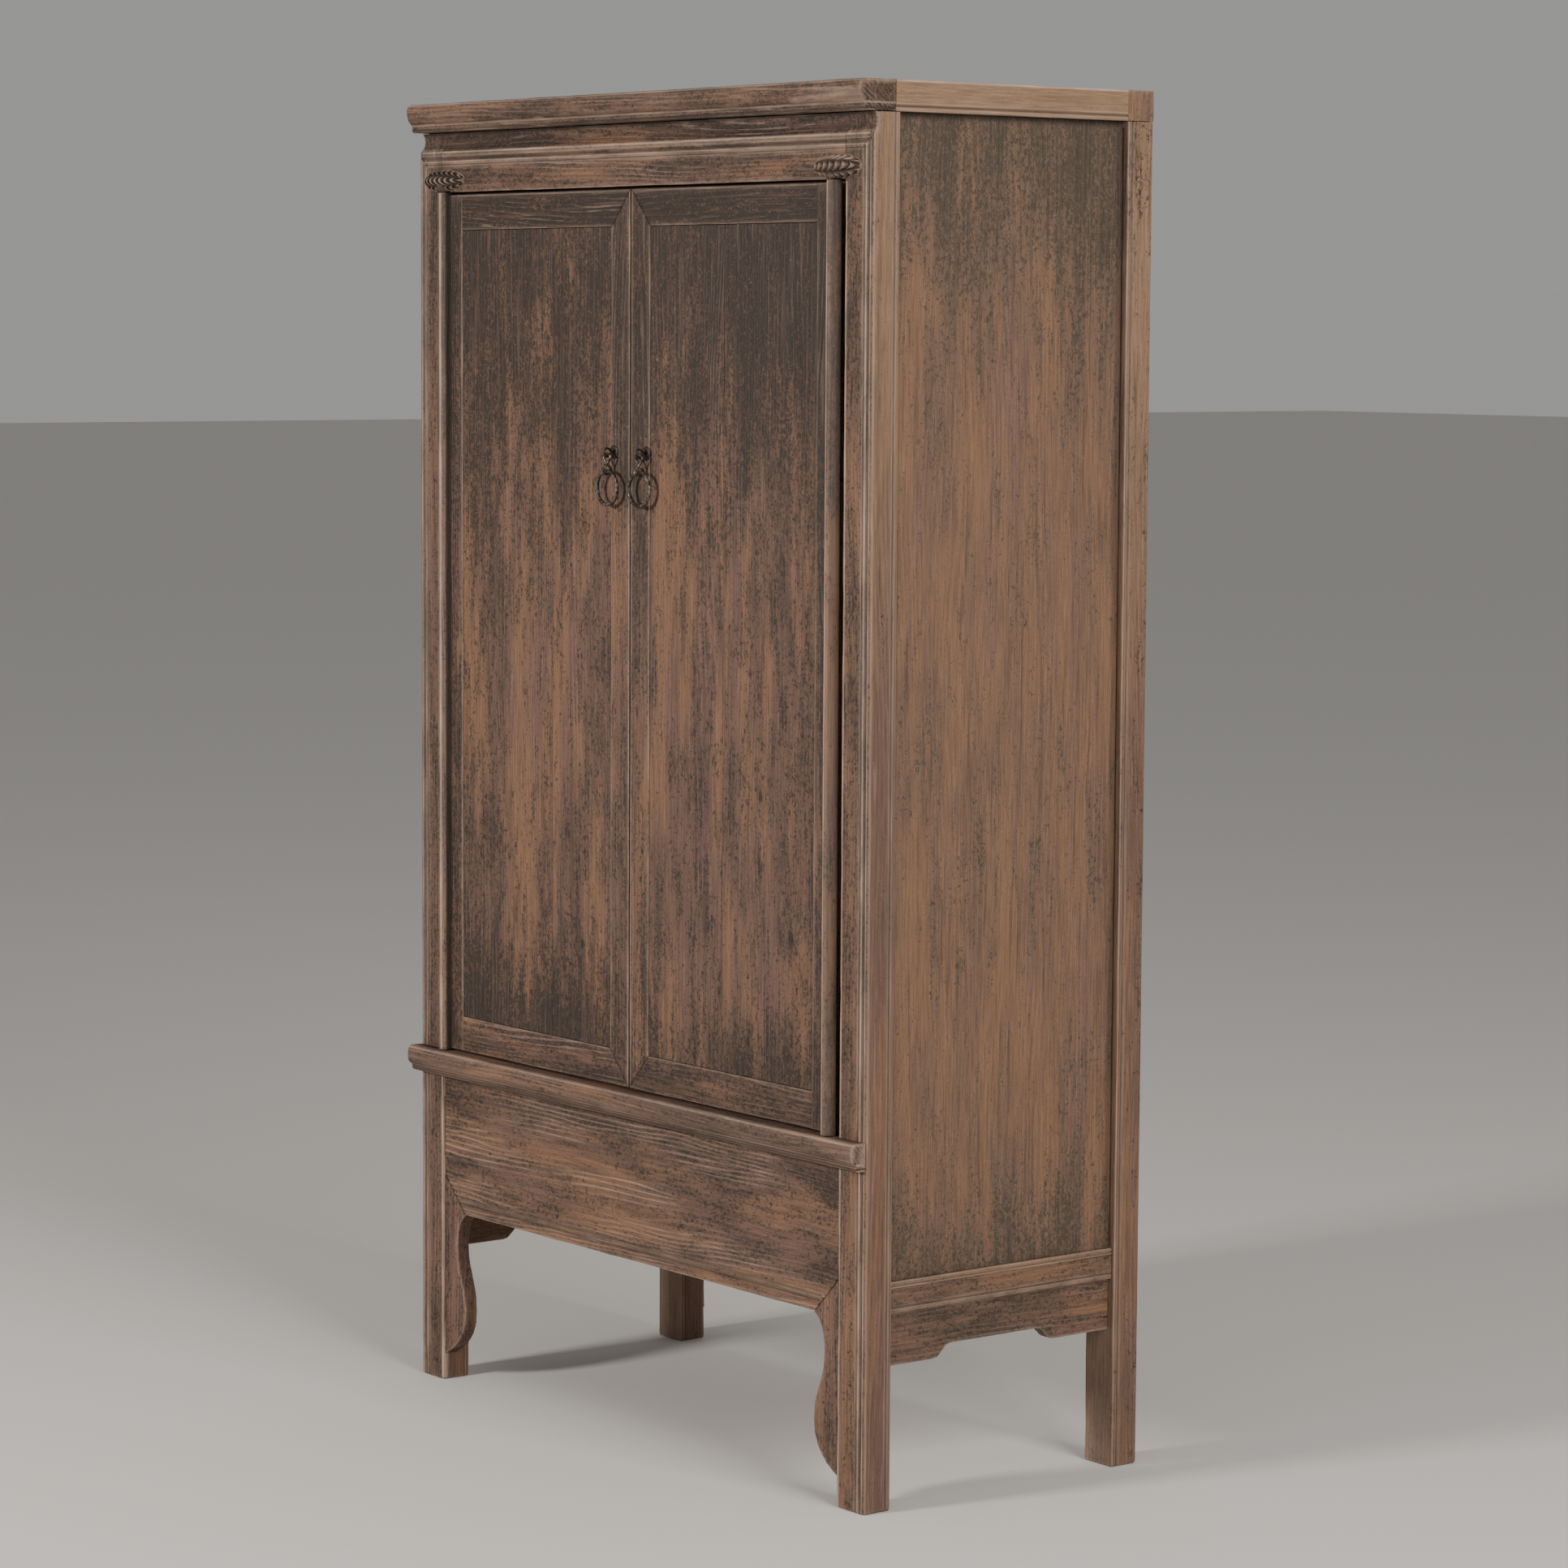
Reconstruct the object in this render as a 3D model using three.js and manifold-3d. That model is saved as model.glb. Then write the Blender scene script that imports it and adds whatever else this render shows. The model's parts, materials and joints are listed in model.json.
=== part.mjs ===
// A framed wooden armoire: four posts joined by rails, two doors that turn on wooden pivots, and a covered
// compartment below the door sill.
// Millimetres, +Z up, the doors face -Y. The origin is on the floor, under the middle of the whole object.
import * as THREE from "three";
import { mergeVertices } from "three/addons/utils/BufferGeometryUtils.js";
import Module from "manifold-3d";

// Driving dimensions of the whole object
const WIDTH = 1064; // over the posts' side faces
const HEIGHT = 1900;
const FRAME_DEPTH = 490; // front of the front posts to back of the back posts
const SILL_PROUD = 26; // the sill stands this far in front of the posts
const GAP = 0.3; // between pieces that touch

// Posts
const POST_WIDTH = 58;
const POST_DEPTH = 46;
const POST_CORNER = 4;
const FOOT_BEVEL = 2; // narrower than the smallest rounded corner of a post
const TENON = 12; // how far a rail's tenon enters its post
const GROOVE = 6; // how deep a panel sits in a groove

// Heights of the rails, bottom and top
const CROWN_Z = HEIGHT - 42;
const FRIEZE_Z = [1771, CROWN_Z];
const SILL_Z = [465, 504];
const APRON_Z = [258, SILL_Z[0]];
const SIDE_RAIL_Z = [266, 310];
const SIDE_APRON_Z = 194;
const SIDE_APRON_ARCH = 18; // the side apron's lower edge rises by this between its ears
const BEAD_LINE_Z = 1820; // the groove that turns from the posts into the frieze

// Crown rails and top boards
const CROWN_PROUD = 24;
const CROWN_FRONT_DEPTH = 38; // behind the posts' front face
const CROWN_SIDE_WIDTH = 44;
const TOP_BOARD = 14;

// Boards, rails and panels
const BOARD = 14;
const PANEL_RECESS = 12; // side and back panels behind the posts' faces
const RAIL_RECESS = 5;
const RAIL = 24;
const APRON = 22;
const SHELF_TOPS = [925, 1345];
const SHELF_INSET = 6; // the shelves stop this far behind the front posts
const BEARER_WIDTH = 22;
const BEARER_HEIGHT = 24;
const FLOOR_TOP = 500;
const STOP_HEIGHT = 10; // the doors close against this much of the sill and the frieze

// Doors
const DOOR_Z = [507, 1767];
const DOOR = 24;
const DOOR_PROUD = 2;
const DOOR_MEETING = 1.5; // from the middle of the object to a door's free edge
const PIVOT_X = 458.5;
const PIVOT_PROUD = 6;
const ROD_RADIUS = 10.5;
const PIN_RADIUS = 5;
const PIN_LENGTH = 19.5;
const PIN_CLEARANCE = 0.6;
const STILE_INNER_X = 418; // inner edge of the pivot stile
const MEETING_STILE = 44;
const DOOR_RAIL = 51;
const DOOR_PANEL = 12;
const DOOR_PANEL_RECESS = 1.5;
const BOARD_JOINT_X = { left: 190, right: 214 }; // where a door panel's two boards meet
const BATTEN_Z = [1115, 1155];

// Carved sockets above the pivots
const SOCKET = { x: 462, z: 1788, halfWidth: 49, halfHeight: 15, proud: 20.5 };

// Pulls
const PULL_X = 38;
const EYE_Z = 1402;
const EYE_PROUD = 12; // the middle of the eye, in front of the door
const EYE_RADIUS = 5.8;
const EYE_WIRE = 1.6;
const LINK_WIRE = 1.9;
const LINK_HEIGHT = 28.5; // between the middles of the wire at its two ends
const LINK_HALF_WIDTH = 7.2;
const LINK_WAIST = 2.2;
const RING_RADIUS = 23.7;
const RING_WIRE = 2.6;

// Planes that follow from the dimensions above
const FRONT = -(FRAME_DEPTH + SILL_PROUD) / 2 + SILL_PROUD;
const BACK = FRONT + FRAME_DEPTH;
const SIDE = WIDTH / 2;
const POST_INNER_X = SIDE - POST_WIDTH;
const FRONT_POST_BACK = FRONT + POST_DEPTH;
const BACK_POST_FRONT = BACK - POST_DEPTH;
const PANEL_X = [SIDE - PANEL_RECESS - BOARD, SIDE - PANEL_RECESS];
const BACK_PANEL_Y = [BACK - PANEL_RECESS - BOARD, BACK - PANEL_RECESS];
const DOOR_FRONT = FRONT - DOOR_PROUD;
const DOOR_BACK = DOOR_FRONT + DOOR;
const PIVOT_Y = FRONT - PIVOT_PROUD;

const wasm = await Module();
wasm.setup();

// ---- Solids ------------------------------------------------------------------------------------------

function solid(geometry) {
  const bare = geometry.index ? geometry.toNonIndexed() : geometry.clone();
  bare.deleteAttribute("normal");
  bare.deleteAttribute("uv");
  const merged = mergeVertices(bare, 1e-4);
  return new wasm.Manifold(
    new wasm.Mesh({
      numProp: 3,
      vertProperties: merged.attributes.position.array,
      triVerts: new Uint32Array(merged.index.array),
    }),
  );
}

const join = (first, ...others) => others.reduce((whole, other) => whole.add(other), first);
const cut = (first, ...others) => others.reduce((whole, other) => whole.subtract(other), first);

// A box from its lowest and highest value along each axis.
function box([x0, x1], [y0, y1], [z0, z1]) {
  const geometry = new THREE.BoxGeometry(x1 - x0, y1 - y0, z1 - z0);
  geometry.translate((x0 + x1) / 2, (y0 + y1) / 2, (z0 + z1) / 2);
  return solid(geometry);
}

const grown = ([low, high], by = GAP) => [low - by, high + by];
const shrunk = (range, by = GAP) => grown(range, -by);
const mirrored = ([low, high]) => [-high, -low];

function extruded(shape, length, axes, at) {
  const geometry = new THREE.ExtrudeGeometry(shape, { depth: length, bevelEnabled: false, curveSegments: 6 });
  geometry.applyMatrix4(new THREE.Matrix4().makeBasis(...axes));
  geometry.translate(...at);
  return solid(geometry);
}

const X = new THREE.Vector3(1, 0, 0);
const Y = new THREE.Vector3(0, 1, 0);
const Z = new THREE.Vector3(0, 0, 1);

// A (y, z) outline carried along X, an (x, z) outline along Y and an (x, y) outline along Z.
const alongX = (shape, [x0, x1]) => extruded(shape, x1 - x0, [Y, Z, X], [x0, 0, 0]);
const alongY = (shape, [y0, y1]) => extruded(shape, y1 - y0, [X, Z, Y.clone().negate()], [0, y1, 0]);
const alongZ = (shape, [z0, z1]) => extruded(shape, z1 - z0, [X, Y, Z], [0, 0, z0]);

const outline = (...points) => new THREE.Shape(points.map(([u, v]) => new THREE.Vector2(u, v)));

function ellipse(u, v, radiusU, radiusV) {
  return new THREE.Shape().absellipse(u, v, radiusU, radiusV, 0, 2 * Math.PI);
}

function upright(x, y, radius, [z0, z1], sides = 16) {
  const geometry = new THREE.CylinderGeometry(radius, radius, z1 - z0, sides);
  geometry.rotateX(Math.PI / 2);
  geometry.translate(x, y, (z0 + z1) / 2);
  return solid(geometry);
}

function pointingBack(x, z, radius, [y0, y1], sides = 12) {
  const geometry = new THREE.CylinderGeometry(radius, radius, y1 - y0, sides);
  geometry.translate(x, (y0 + y1) / 2, z);
  return solid(geometry);
}

// A closed tube of round section along a closed curve.
function closedTube(curve, steps, radius, sides) {
  return solid(new THREE.TubeGeometry(curve, steps, radius, sides, true));
}

// ---- Materials and nodes -----------------------------------------------------------------------------

const materials = {
  carcass: { color: 0x7d5f4e, roughness: 0.78, metalness: 0 },
  door: { color: 0x5f4d43, roughness: 0.75, metalness: 0 },
  interior: { color: 0x8d6f57, roughness: 0.85, metalness: 0 },
  iron: { color: 0x3c342f, roughness: 0.55, metalness: 0.85 },
};

function node(name, shape, material) {
  const made = shape.getMesh();
  const geometry = new THREE.BufferGeometry();
  geometry.setAttribute("position", new THREE.BufferAttribute(made.vertProperties, 3));
  geometry.setIndex(new THREE.BufferAttribute(made.triVerts, 1));
  geometry.computeVertexNormals();
  const mesh = new THREE.Mesh(geometry, new THREE.MeshStandardMaterial(materials[material]));
  mesh.name = name;
  return mesh;
}

// The right-hand piece and its mirror image on the left.
function pair(name, shape, material) {
  const right = node(name + "_right", shape, material);
  const left = node(name + "_left", shape, material);
  left.scale.x = -1;
  return [right, left];
}

// ---- Carcass: posts ----------------------------------------------------------------------------------

// Tenons shared by a rail and its post: each is a box, cut from the post with a gap all round.
const mortise = ({ x, y, z }) => box(grown(x), grown(y), grown(z));
const tenon = ({ x, y, z }) => box(x, y, z);

const CROWN_FRONT_BACK = FRONT + CROWN_FRONT_DEPTH;
const CROWN_TENON = { x: [500, 520], z: [1870, 1878] };

const TENONS = {
  frieze: { x: [POST_INNER_X - 1, POST_INNER_X + TENON], y: [FRONT + 10, FRONT + 22], z: [1785, 1820] },
  sill: { x: [POST_INNER_X - 1, POST_INNER_X + TENON], y: [FRONT + 12, FRONT + 24], z: [472, 496] },
  apron: { x: [POST_INNER_X - 1, POST_INNER_X + TENON], y: [FRONT + 8, FRONT + 18], z: [340, 430] },
  bracket: { x: [POST_INNER_X - 1, POST_INNER_X + GROOVE], y: [FRONT + 8, FRONT + 18], z: [90, 250] },
  backRail: { x: [POST_INNER_X - 1, POST_INNER_X + TENON], y: [BACK - 22, BACK - 10], z: [276, 300] },
  sideRailFront: { x: [510, 522], y: [FRONT_POST_BACK - TENON, FRONT_POST_BACK + 1], z: [276, 300] },
  sideRailBack: { x: [510, 522], y: [BACK_POST_FRONT - 1, BACK_POST_FRONT + TENON], z: [276, 300] },
  postFront: { x: [488, 518], y: [FRONT + 8, FRONT + 22], z: [CROWN_Z - 1, CROWN_Z + 22] },
  postBack: { x: [488, 518], y: [BACK - 30, BACK - 12], z: [CROWN_Z - 1, CROWN_Z + 22] },
  crownSideFront: { ...CROWN_TENON, y: [CROWN_FRONT_BACK - TENON, CROWN_FRONT_BACK + 1] },
  crownSideBack: { ...CROWN_TENON, y: [BACK_POST_FRONT - 1, BACK_POST_FRONT + TENON] },
};

const SIDE_GROOVE_Z = [SIDE_RAIL_Z[1] + 4, CROWN_Z - 10];

// The post's section: the outer corners are rounded, the inner ones square.
function postSection([y0, y1], outerFront, outerBack) {
  const shape = new THREE.Shape();
  shape.moveTo(POST_INNER_X, y0);
  shape.lineTo(SIDE - outerFront, y0);
  shape.absarc(SIDE - outerFront, y0 + outerFront, outerFront, -Math.PI / 2, 0);
  shape.lineTo(SIDE, y1 - outerBack);
  shape.absarc(SIDE - outerBack, y1 - outerBack, outerBack, 0, Math.PI / 2);
  shape.lineTo(POST_INNER_X, y1);
  return shape;
}

// A post with a bevelled foot, up to the underside of the crown.
function plainPost(section) {
  const foot = new THREE.ExtrudeGeometry(section, {
    depth: POST_DEPTH,
    bevelThickness: 2 * FOOT_BEVEL,
    bevelSize: FOOT_BEVEL,
    bevelOffset: -FOOT_BEVEL,
    bevelSegments: 2,
    curveSegments: 6,
  });
  foot.translate(0, 0, 2 * FOOT_BEVEL);
  return join(alongZ(section, [2 * FOOT_BEVEL, CROWN_Z - GAP]), solid(foot));
}

const COVE = { bottom: 1829.5, top: CROWN_Z, depth: 7 };

// The hollow moulding that runs under the crown, across both posts and the frieze.
function coveCutter() {
  const middle = (COVE.bottom + COVE.top) / 2;
  const shape = outline([FRONT - 1, COVE.bottom], [FRONT, COVE.bottom]);
  shape.quadraticCurveTo(FRONT + 2 * COVE.depth, middle, FRONT + 3, COVE.top + 1);
  shape.lineTo(FRONT - 1, COVE.top + 1);
  return alongX(shape, [-SIDE - 1, SIDE + 1]);
}

const EDGE_GROOVE = { in: 10, halfWidth: 3, depth: 2.5 }; // beside the rounded corner of a front post
const FINE_GROOVE = { in: 18.8, halfWidth: 0.9, depth: 1.2 };
const PANEL_BEAD = 7; // beside the panel, on the side face of each post

function frontPost() {
  const section = postSection([FRONT, FRONT_POST_BACK], POST_CORNER, 2.5);
  const grooves = [EDGE_GROOVE, FINE_GROOVE].flatMap(({ in: inset, halfWidth, depth }) => {
    const x = SIDE - inset;
    const z = BEAD_LINE_Z + EDGE_GROOVE.in - inset;
    return [
      alongZ(ellipse(x, FRONT, halfWidth, depth), [-1, z + halfWidth]),
      alongX(ellipse(FRONT, z, depth, halfWidth), [POST_INNER_X - 1, x + halfWidth]),
    ];
  });
  const sideGroove = alongZ(ellipse(SIDE, FRONT_POST_BACK - PANEL_BEAD - 1.5, 1.5, 1.5), [-1, CROWN_Z]);
  const grooveY = [FRONT_POST_BACK - GROOVE - GAP, FRONT_POST_BACK + 1];
  const panelGroove = box(grown(PANEL_X), grooveY, grown(SIDE_GROOVE_Z));
  const { frieze, sill, apron, bracket, sideRailFront, postFront } = TENONS;
  return cut(
    join(plainPost(section), tenon(postFront)),
    ...grooves,
    coveCutter(),
    sideGroove,
    panelGroove,
    ...[frieze, sill, apron, bracket, sideRailFront].map(mortise),
  );
}

function backPost() {
  const section = postSection([BACK_POST_FRONT, BACK], 2.5, POST_CORNER);
  const sideGroove = alongZ(ellipse(SIDE, BACK_POST_FRONT + PANEL_BEAD + 1.5, 1.5, 1.5), [-1, CROWN_Z]);
  const grooveY = [BACK_POST_FRONT - 1, BACK_POST_FRONT + GROOVE + GAP];
  const grooveX = [POST_INNER_X - 1, POST_INNER_X + GROOVE + GAP];
  const sidePanelGroove = box(grown(PANEL_X), grooveY, grown(SIDE_GROOVE_Z));
  const backPanelGroove = box(grooveX, grown(BACK_PANEL_Y), grown(SIDE_GROOVE_Z));
  const { backRail, sideRailBack, postBack } = TENONS;
  return cut(
    join(plainPost(section), tenon(postBack)),
    sideGroove,
    sidePanelGroove,
    backPanelGroove,
    ...[backRail, sideRailBack].map(mortise),
  );
}

// ---- Carcass: crown and top --------------------------------------------------------------------------

const TOP_BOARD_Z = [HEIGHT - 4 - TOP_BOARD, HEIGHT - 4];
const TOP_BOARD_X = [-SIDE + CROWN_SIDE_WIDTH - GROOVE, SIDE - CROWN_SIDE_WIDTH + GROOVE];
const PANEL_TOP = CROWN_Z + 8; // the side and back panels stand this high, in grooves of the crown rails

function crownFront() {
  const shape = outline(
    [CROWN_FRONT_BACK, CROWN_Z],
    [CROWN_FRONT_BACK, HEIGHT],
    [FRONT - CROWN_PROUD + 6, HEIGHT],
  );
  shape.quadraticCurveTo(FRONT - CROWN_PROUD, HEIGHT - 3, FRONT - CROWN_PROUD, HEIGHT - 12);
  shape.quadraticCurveTo(FRONT - CROWN_PROUD, HEIGHT - 24, FRONT - 16, HEIGHT - 30);
  shape.lineTo(FRONT - 15, HEIGHT - 31);
  shape.lineTo(FRONT - 14, CROWN_Z + 2);
  shape.lineTo(FRONT - 11, CROWN_Z);
  const grooveY = [CROWN_FRONT_BACK - GROOVE - GAP, CROWN_FRONT_BACK + 1];
  const boardGroove = box(grown(TOP_BOARD_X), grooveY, grown(TOP_BOARD_Z));
  return cut(
    alongX(shape, [-SIDE, SIDE]),
    boardGroove,
    ...bothSides(TENONS.postFront),
    ...bothSides(TENONS.crownSideFront),
  );
}

function crownBack() {
  const y = [BACK_POST_FRONT, BACK];
  const grooveY = [BACK_POST_FRONT - 1, BACK_POST_FRONT + GROOVE + GAP];
  const boardGroove = box(grown(TOP_BOARD_X), grooveY, grown(TOP_BOARD_Z));
  const panelSpan = [-POST_INNER_X, POST_INNER_X];
  const backPanelGroove = box(panelSpan, grown(BACK_PANEL_Y), [CROWN_Z - 1, PANEL_TOP + GAP]);
  return cut(
    box([-SIDE, SIDE], y, [CROWN_Z, HEIGHT]),
    boardGroove,
    backPanelGroove,
    ...bothSides(TENONS.postBack),
    ...bothSides(TENONS.crownSideBack),
  );
}

function bothSides({ x, y, z }) {
  return [mortise({ x, y, z }), mortise({ x: mirrored(x), y, z })];
}

// A side rail of the crown, with a bead along its lower outer edge.
function crownSide() {
  const y = shrunk([CROWN_FRONT_BACK, BACK_POST_FRONT]);
  const body = box([SIDE - CROWN_SIDE_WIDTH, SIDE], y, [CROWN_Z, HEIGHT]);
  const beadGroove = alongY(ellipse(SIDE, CROWN_Z + 7, 2, 1.6), grown(y, 1));
  const inner = SIDE - CROWN_SIDE_WIDTH;
  const boardGroove = box([inner - 1, inner + GROOVE + GAP], grown(y, 1), grown(TOP_BOARD_Z));
  const panelGroove = box(grown(PANEL_X), grown(y, 1), [CROWN_Z - 1, PANEL_TOP + GAP]);
  return join(
    cut(body, beadGroove, boardGroove, panelGroove),
    tenon(TENONS.crownSideFront),
    tenon(TENONS.crownSideBack),
  );
}

function topBoard(y) {
  return box(TOP_BOARD_X, y, TOP_BOARD_Z);
}

// ---- Carcass: front ----------------------------------------------------------------------------------

const INSIDE_X = [-POST_INNER_X + GAP, POST_INNER_X - GAP];

function withTenons(rail, at) {
  return join(rail, tenon(at), tenon({ ...at, x: mirrored(at.x) }));
}

// The rail over the doors. Its lower back edge drops as a stop for the doors.
function frieze() {
  const back = FRONT + 32;
  const shape = outline(
    [FRONT, FRIEZE_Z[0]],
    [DOOR_BACK + 2, FRIEZE_Z[0]],
    [DOOR_BACK + 2, FRIEZE_Z[0] - STOP_HEIGHT],
    [back, FRIEZE_Z[0] - STOP_HEIGHT],
    [back, FRIEZE_Z[1] - GAP],
    [FRONT, FRIEZE_Z[1] - GAP],
  );
  const grooves = [EDGE_GROOVE, FINE_GROOVE].map(({ in: inset, halfWidth, depth }) =>
    alongX(ellipse(FRONT, BEAD_LINE_Z + EDGE_GROOVE.in - inset, depth, halfWidth), [-SIDE, SIDE]));
  return cut(
    withTenons(alongX(shape, INSIDE_X), TENONS.frieze),
    ...grooves,
    coveCutter(),
    ...bothSides(SOCKET_TENON),
  );
}

const SOCKET_TENON = { x: [440, 468], y: [FRONT - 1, FRONT + TENON], z: [1780, 1797] };

// A carved oval block on the frieze, with a blind hole that holds the door's upper pin.
function pivotSocket() {
  const dome = new THREE.SphereGeometry(1, 24, 16);
  dome.scale(SOCKET.halfWidth, SOCKET.proud, SOCKET.halfHeight);
  dome.translate(SOCKET.x, FRONT, SOCKET.z);
  const collar = upright(PIVOT_X, PIVOT_Y, ROD_RADIUS + 1, [FRIEZE_Z[0] + GAP, SOCKET.z]);
  const behind = box([PIVOT_X - 80, PIVOT_X + 80], [FRONT - GAP, FRONT + 40], [SOCKET.z - 40, SOCKET.z + 40]);
  const holeZ = [SOCKET.z - 40, ROD_Z[1] + PIN_LENGTH + 1];
  const pinHole = upright(PIVOT_X, PIVOT_Y, PIN_RADIUS + PIN_CLEARANCE, holeZ);
  const carved = cut(join(solid(dome), collar), behind);
  return cut(join(carved, tenon(SOCKET_TENON)), pinHole);
}

// The sill between and in front of the posts: it holds the doors' lower pins and stops the doors at its back.
function sill() {
  const lip = FRONT - SILL_PROUD;
  const [bottom, top] = SILL_Z;
  const shape = outline(
    [FRONT_POST_BACK, bottom],
    [FRONT_POST_BACK, top + STOP_HEIGHT],
    [DOOR_BACK + 2, top + STOP_HEIGHT],
    [DOOR_BACK + 2, top],
    [lip + 6, top],
  );
  shape.quadraticCurveTo(lip, top - 2, lip, top - 15);
  shape.quadraticCurveTo(lip, bottom + 14, lip + 6, bottom + 11);
  shape.lineTo(lip + 9, bottom + 9);
  shape.lineTo(lip + 8, bottom + 4);
  shape.lineTo(lip + 12, bottom);
  const postSpaces = [[POST_INNER_X - GAP, SIDE + 1], mirrored([POST_INNER_X - GAP, SIDE + 1])].map((x) =>
    box(x, [FRONT - GAP, FRONT_POST_BACK + 1], [bottom - 1, top + STOP_HEIGHT + 1]));
  const pinHoles = [PIVOT_X, -PIVOT_X].map((x) =>
    upright(x, PIVOT_Y, PIN_RADIUS + PIN_CLEARANCE, [ROD_Z[0] - PIN_LENGTH - 1, top + 1]));
  return cut(withTenons(cut(alongX(shape, [-SIDE, SIDE]), ...postSpaces), TENONS.sill), ...pinHoles);
}

const APRON_Y = [FRONT + 3, FRONT + 3 + APRON];
const BRACKET_WIDTH = 54; // the widest part of a leg bracket
const MITRE_RISE = BRACKET_WIDTH; // a bracket meets the apron on a 45 degree mitre

// The deep board below the sill, with a raised line above its lower edge and a mitre at each end.
function frontApron() {
  const [bottom, top] = shrunk(APRON_Z);
  const end = POST_INNER_X - GAP;
  const corner = end - BRACKET_WIDTH;
  const shape = outline(
    [-end, top],
    [-end, bottom + MITRE_RISE],
    [-corner, bottom],
    [corner, bottom],
    [end, bottom + MITRE_RISE],
    [end, top],
  );
  const beadLine = alongX(ellipse(APRON_Y[0], bottom + 20, 1.8, 3.5), [-corner - 15, corner + 15]);
  return withTenons(join(alongY(shape, APRON_Y), beadLine), TENONS.apron);
}

// A shaped bracket that runs down the inside of a front post, hollow above and full below.
function legBracket() {
  const edge = POST_INNER_X - GAP;
  const widest = edge - BRACKET_WIDTH;
  const top = APRON_Z[0] - GAP;
  const shape = outline([edge, 40], [edge, top + MITRE_RISE - GAP], [widest, top]);
  shape.bezierCurveTo(edge - 40, 250, edge - 32, 232, edge - 32, 205);
  shape.bezierCurveTo(edge - 32, 170, widest, 150, widest, 112);
  shape.bezierCurveTo(widest - 2, 72, edge - 22, 50, edge, 40);
  return join(alongY(shape, APRON_Y), tenon(TENONS.bracket));
}

// ---- Carcass: sides and back -------------------------------------------------------------------------

const SIDE_Y = [FRONT_POST_BACK + GAP, BACK_POST_FRONT - GAP];
const PANEL_BOTTOM = SIDE_RAIL_Z[1] - 8;

function sidePanel() {
  const [low, high] = [FRONT_POST_BACK - GROOVE, BACK_POST_FRONT + GROOVE];
  return join(box(PANEL_X, SIDE_Y, [PANEL_BOTTOM, PANEL_TOP]), box(PANEL_X, [low, high], SIDE_GROOVE_Z));
}

// The lower side rail, with a rounded upper edge and a fine groove above its lower edge.
function sideRail() {
  const face = SIDE - RAIL_RECESS;
  const [bottom, top] = SIDE_RAIL_Z;
  const shape = outline([face - RAIL, bottom], [face - 1, bottom], [face, bottom + 1], [face, top - 7]);
  shape.quadraticCurveTo(face + 3, top - 2, face - 3, top);
  shape.lineTo(face - RAIL, top);
  const beadGroove = alongY(ellipse(face, bottom + 8, 1.4, 1.4), grown(SIDE_Y, 1));
  const panelGroove = box(grown(PANEL_X), grown(SIDE_Y, 1), [PANEL_BOTTOM - GAP, top + 1]);
  const baseGroove = box([face - RAIL - 1, face - RAIL + GROOVE + GAP], grown(SIDE_Y, 1), grown(BASE_Z));
  return join(
    cut(alongY(shape, SIDE_Y), beadGroove, panelGroove, baseGroove),
    tenon(TENONS.sideRailFront),
    tenon(TENONS.sideRailBack),
  );
}

const EAR_FRONT = 82;
const EAR_BACK = 100;
const EAR_CURVE = 32; // how long the curve between an ear and the arch is

// The shaped board under a side rail: a low ear at each end and a raised middle.
function sideApron() {
  const [front, back] = SIDE_Y;
  const low = SIDE_APRON_Z;
  const high = low + SIDE_APRON_ARCH;
  const top = SIDE_RAIL_Z[0] - GAP;
  const shape = outline([front, top], [front, low], [front + EAR_FRONT, low]);
  const rise = front + EAR_FRONT + EAR_CURVE / 2;
  const fall = back - EAR_BACK - EAR_CURVE / 2;
  shape.bezierCurveTo(rise, low, rise, high, rise + EAR_CURVE / 2, high);
  shape.lineTo(fall - EAR_CURVE / 2, high);
  shape.bezierCurveTo(fall, high, fall, low, back - EAR_BACK, low);
  shape.lineTo(back, low);
  shape.lineTo(back, top);
  return alongX(shape, [SIDE - PANEL_RECESS - 18, SIDE - PANEL_RECESS]);
}

function backRail() {
  const y = [BACK - RAIL_RECESS - RAIL, BACK - RAIL_RECESS];
  const panelGroove = box(grown(INSIDE_X, 1), grown(BACK_PANEL_Y), [PANEL_BOTTOM - GAP, SIDE_RAIL_Z[1] + 1]);
  return withTenons(cut(box(INSIDE_X, y, SIDE_RAIL_Z), panelGroove), TENONS.backRail);
}

const BACK_BOARDS = 3;

// One of the upright boards of the back. The outer ones enter grooves in the posts.
function backBoard(index) {
  const width = (2 * POST_INNER_X) / BACK_BOARDS;
  const low = -POST_INNER_X + index * width;
  const board = box(shrunk([low, low + width]), BACK_PANEL_Y, [PANEL_BOTTOM, PANEL_TOP]);
  const tongue = [POST_INNER_X - 1, POST_INNER_X + GROOVE];
  const edges = { 0: mirrored(tongue), [BACK_BOARDS - 1]: tongue };
  return edges[index] ? join(board, box(edges[index], BACK_PANEL_Y, SIDE_GROOVE_Z)) : board;
}

// ---- Carcass: inside ---------------------------------------------------------------------------------

const BASE_Z = [280, 294];
const INSIDE_PANEL_X = PANEL_X[0] - GAP;
const INSIDE_BACK_Y = BACK_PANEL_Y[0] - GAP;

// The floor of the lower compartment. It stops short of the four posts.
function baseBoard() {
  const sides = SIDE - RAIL_RECESS - RAIL + GROOVE;
  const front = APRON_Y[1] + GAP;
  const back = BACK - RAIL_RECESS - RAIL - GAP;
  return join(
    box([-sides, sides], shrunk([FRONT_POST_BACK, BACK_POST_FRONT], 1), BASE_Z),
    box(shrunk([-POST_INNER_X, POST_INNER_X], 1), [front, back], BASE_Z),
  );
}

const LID_BACK = 20;
const FINGER_SLOT = { width: 90, depth: 22 };
const FLOOR_Z = [FLOOR_TOP - BOARD, FLOOR_TOP];

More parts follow.
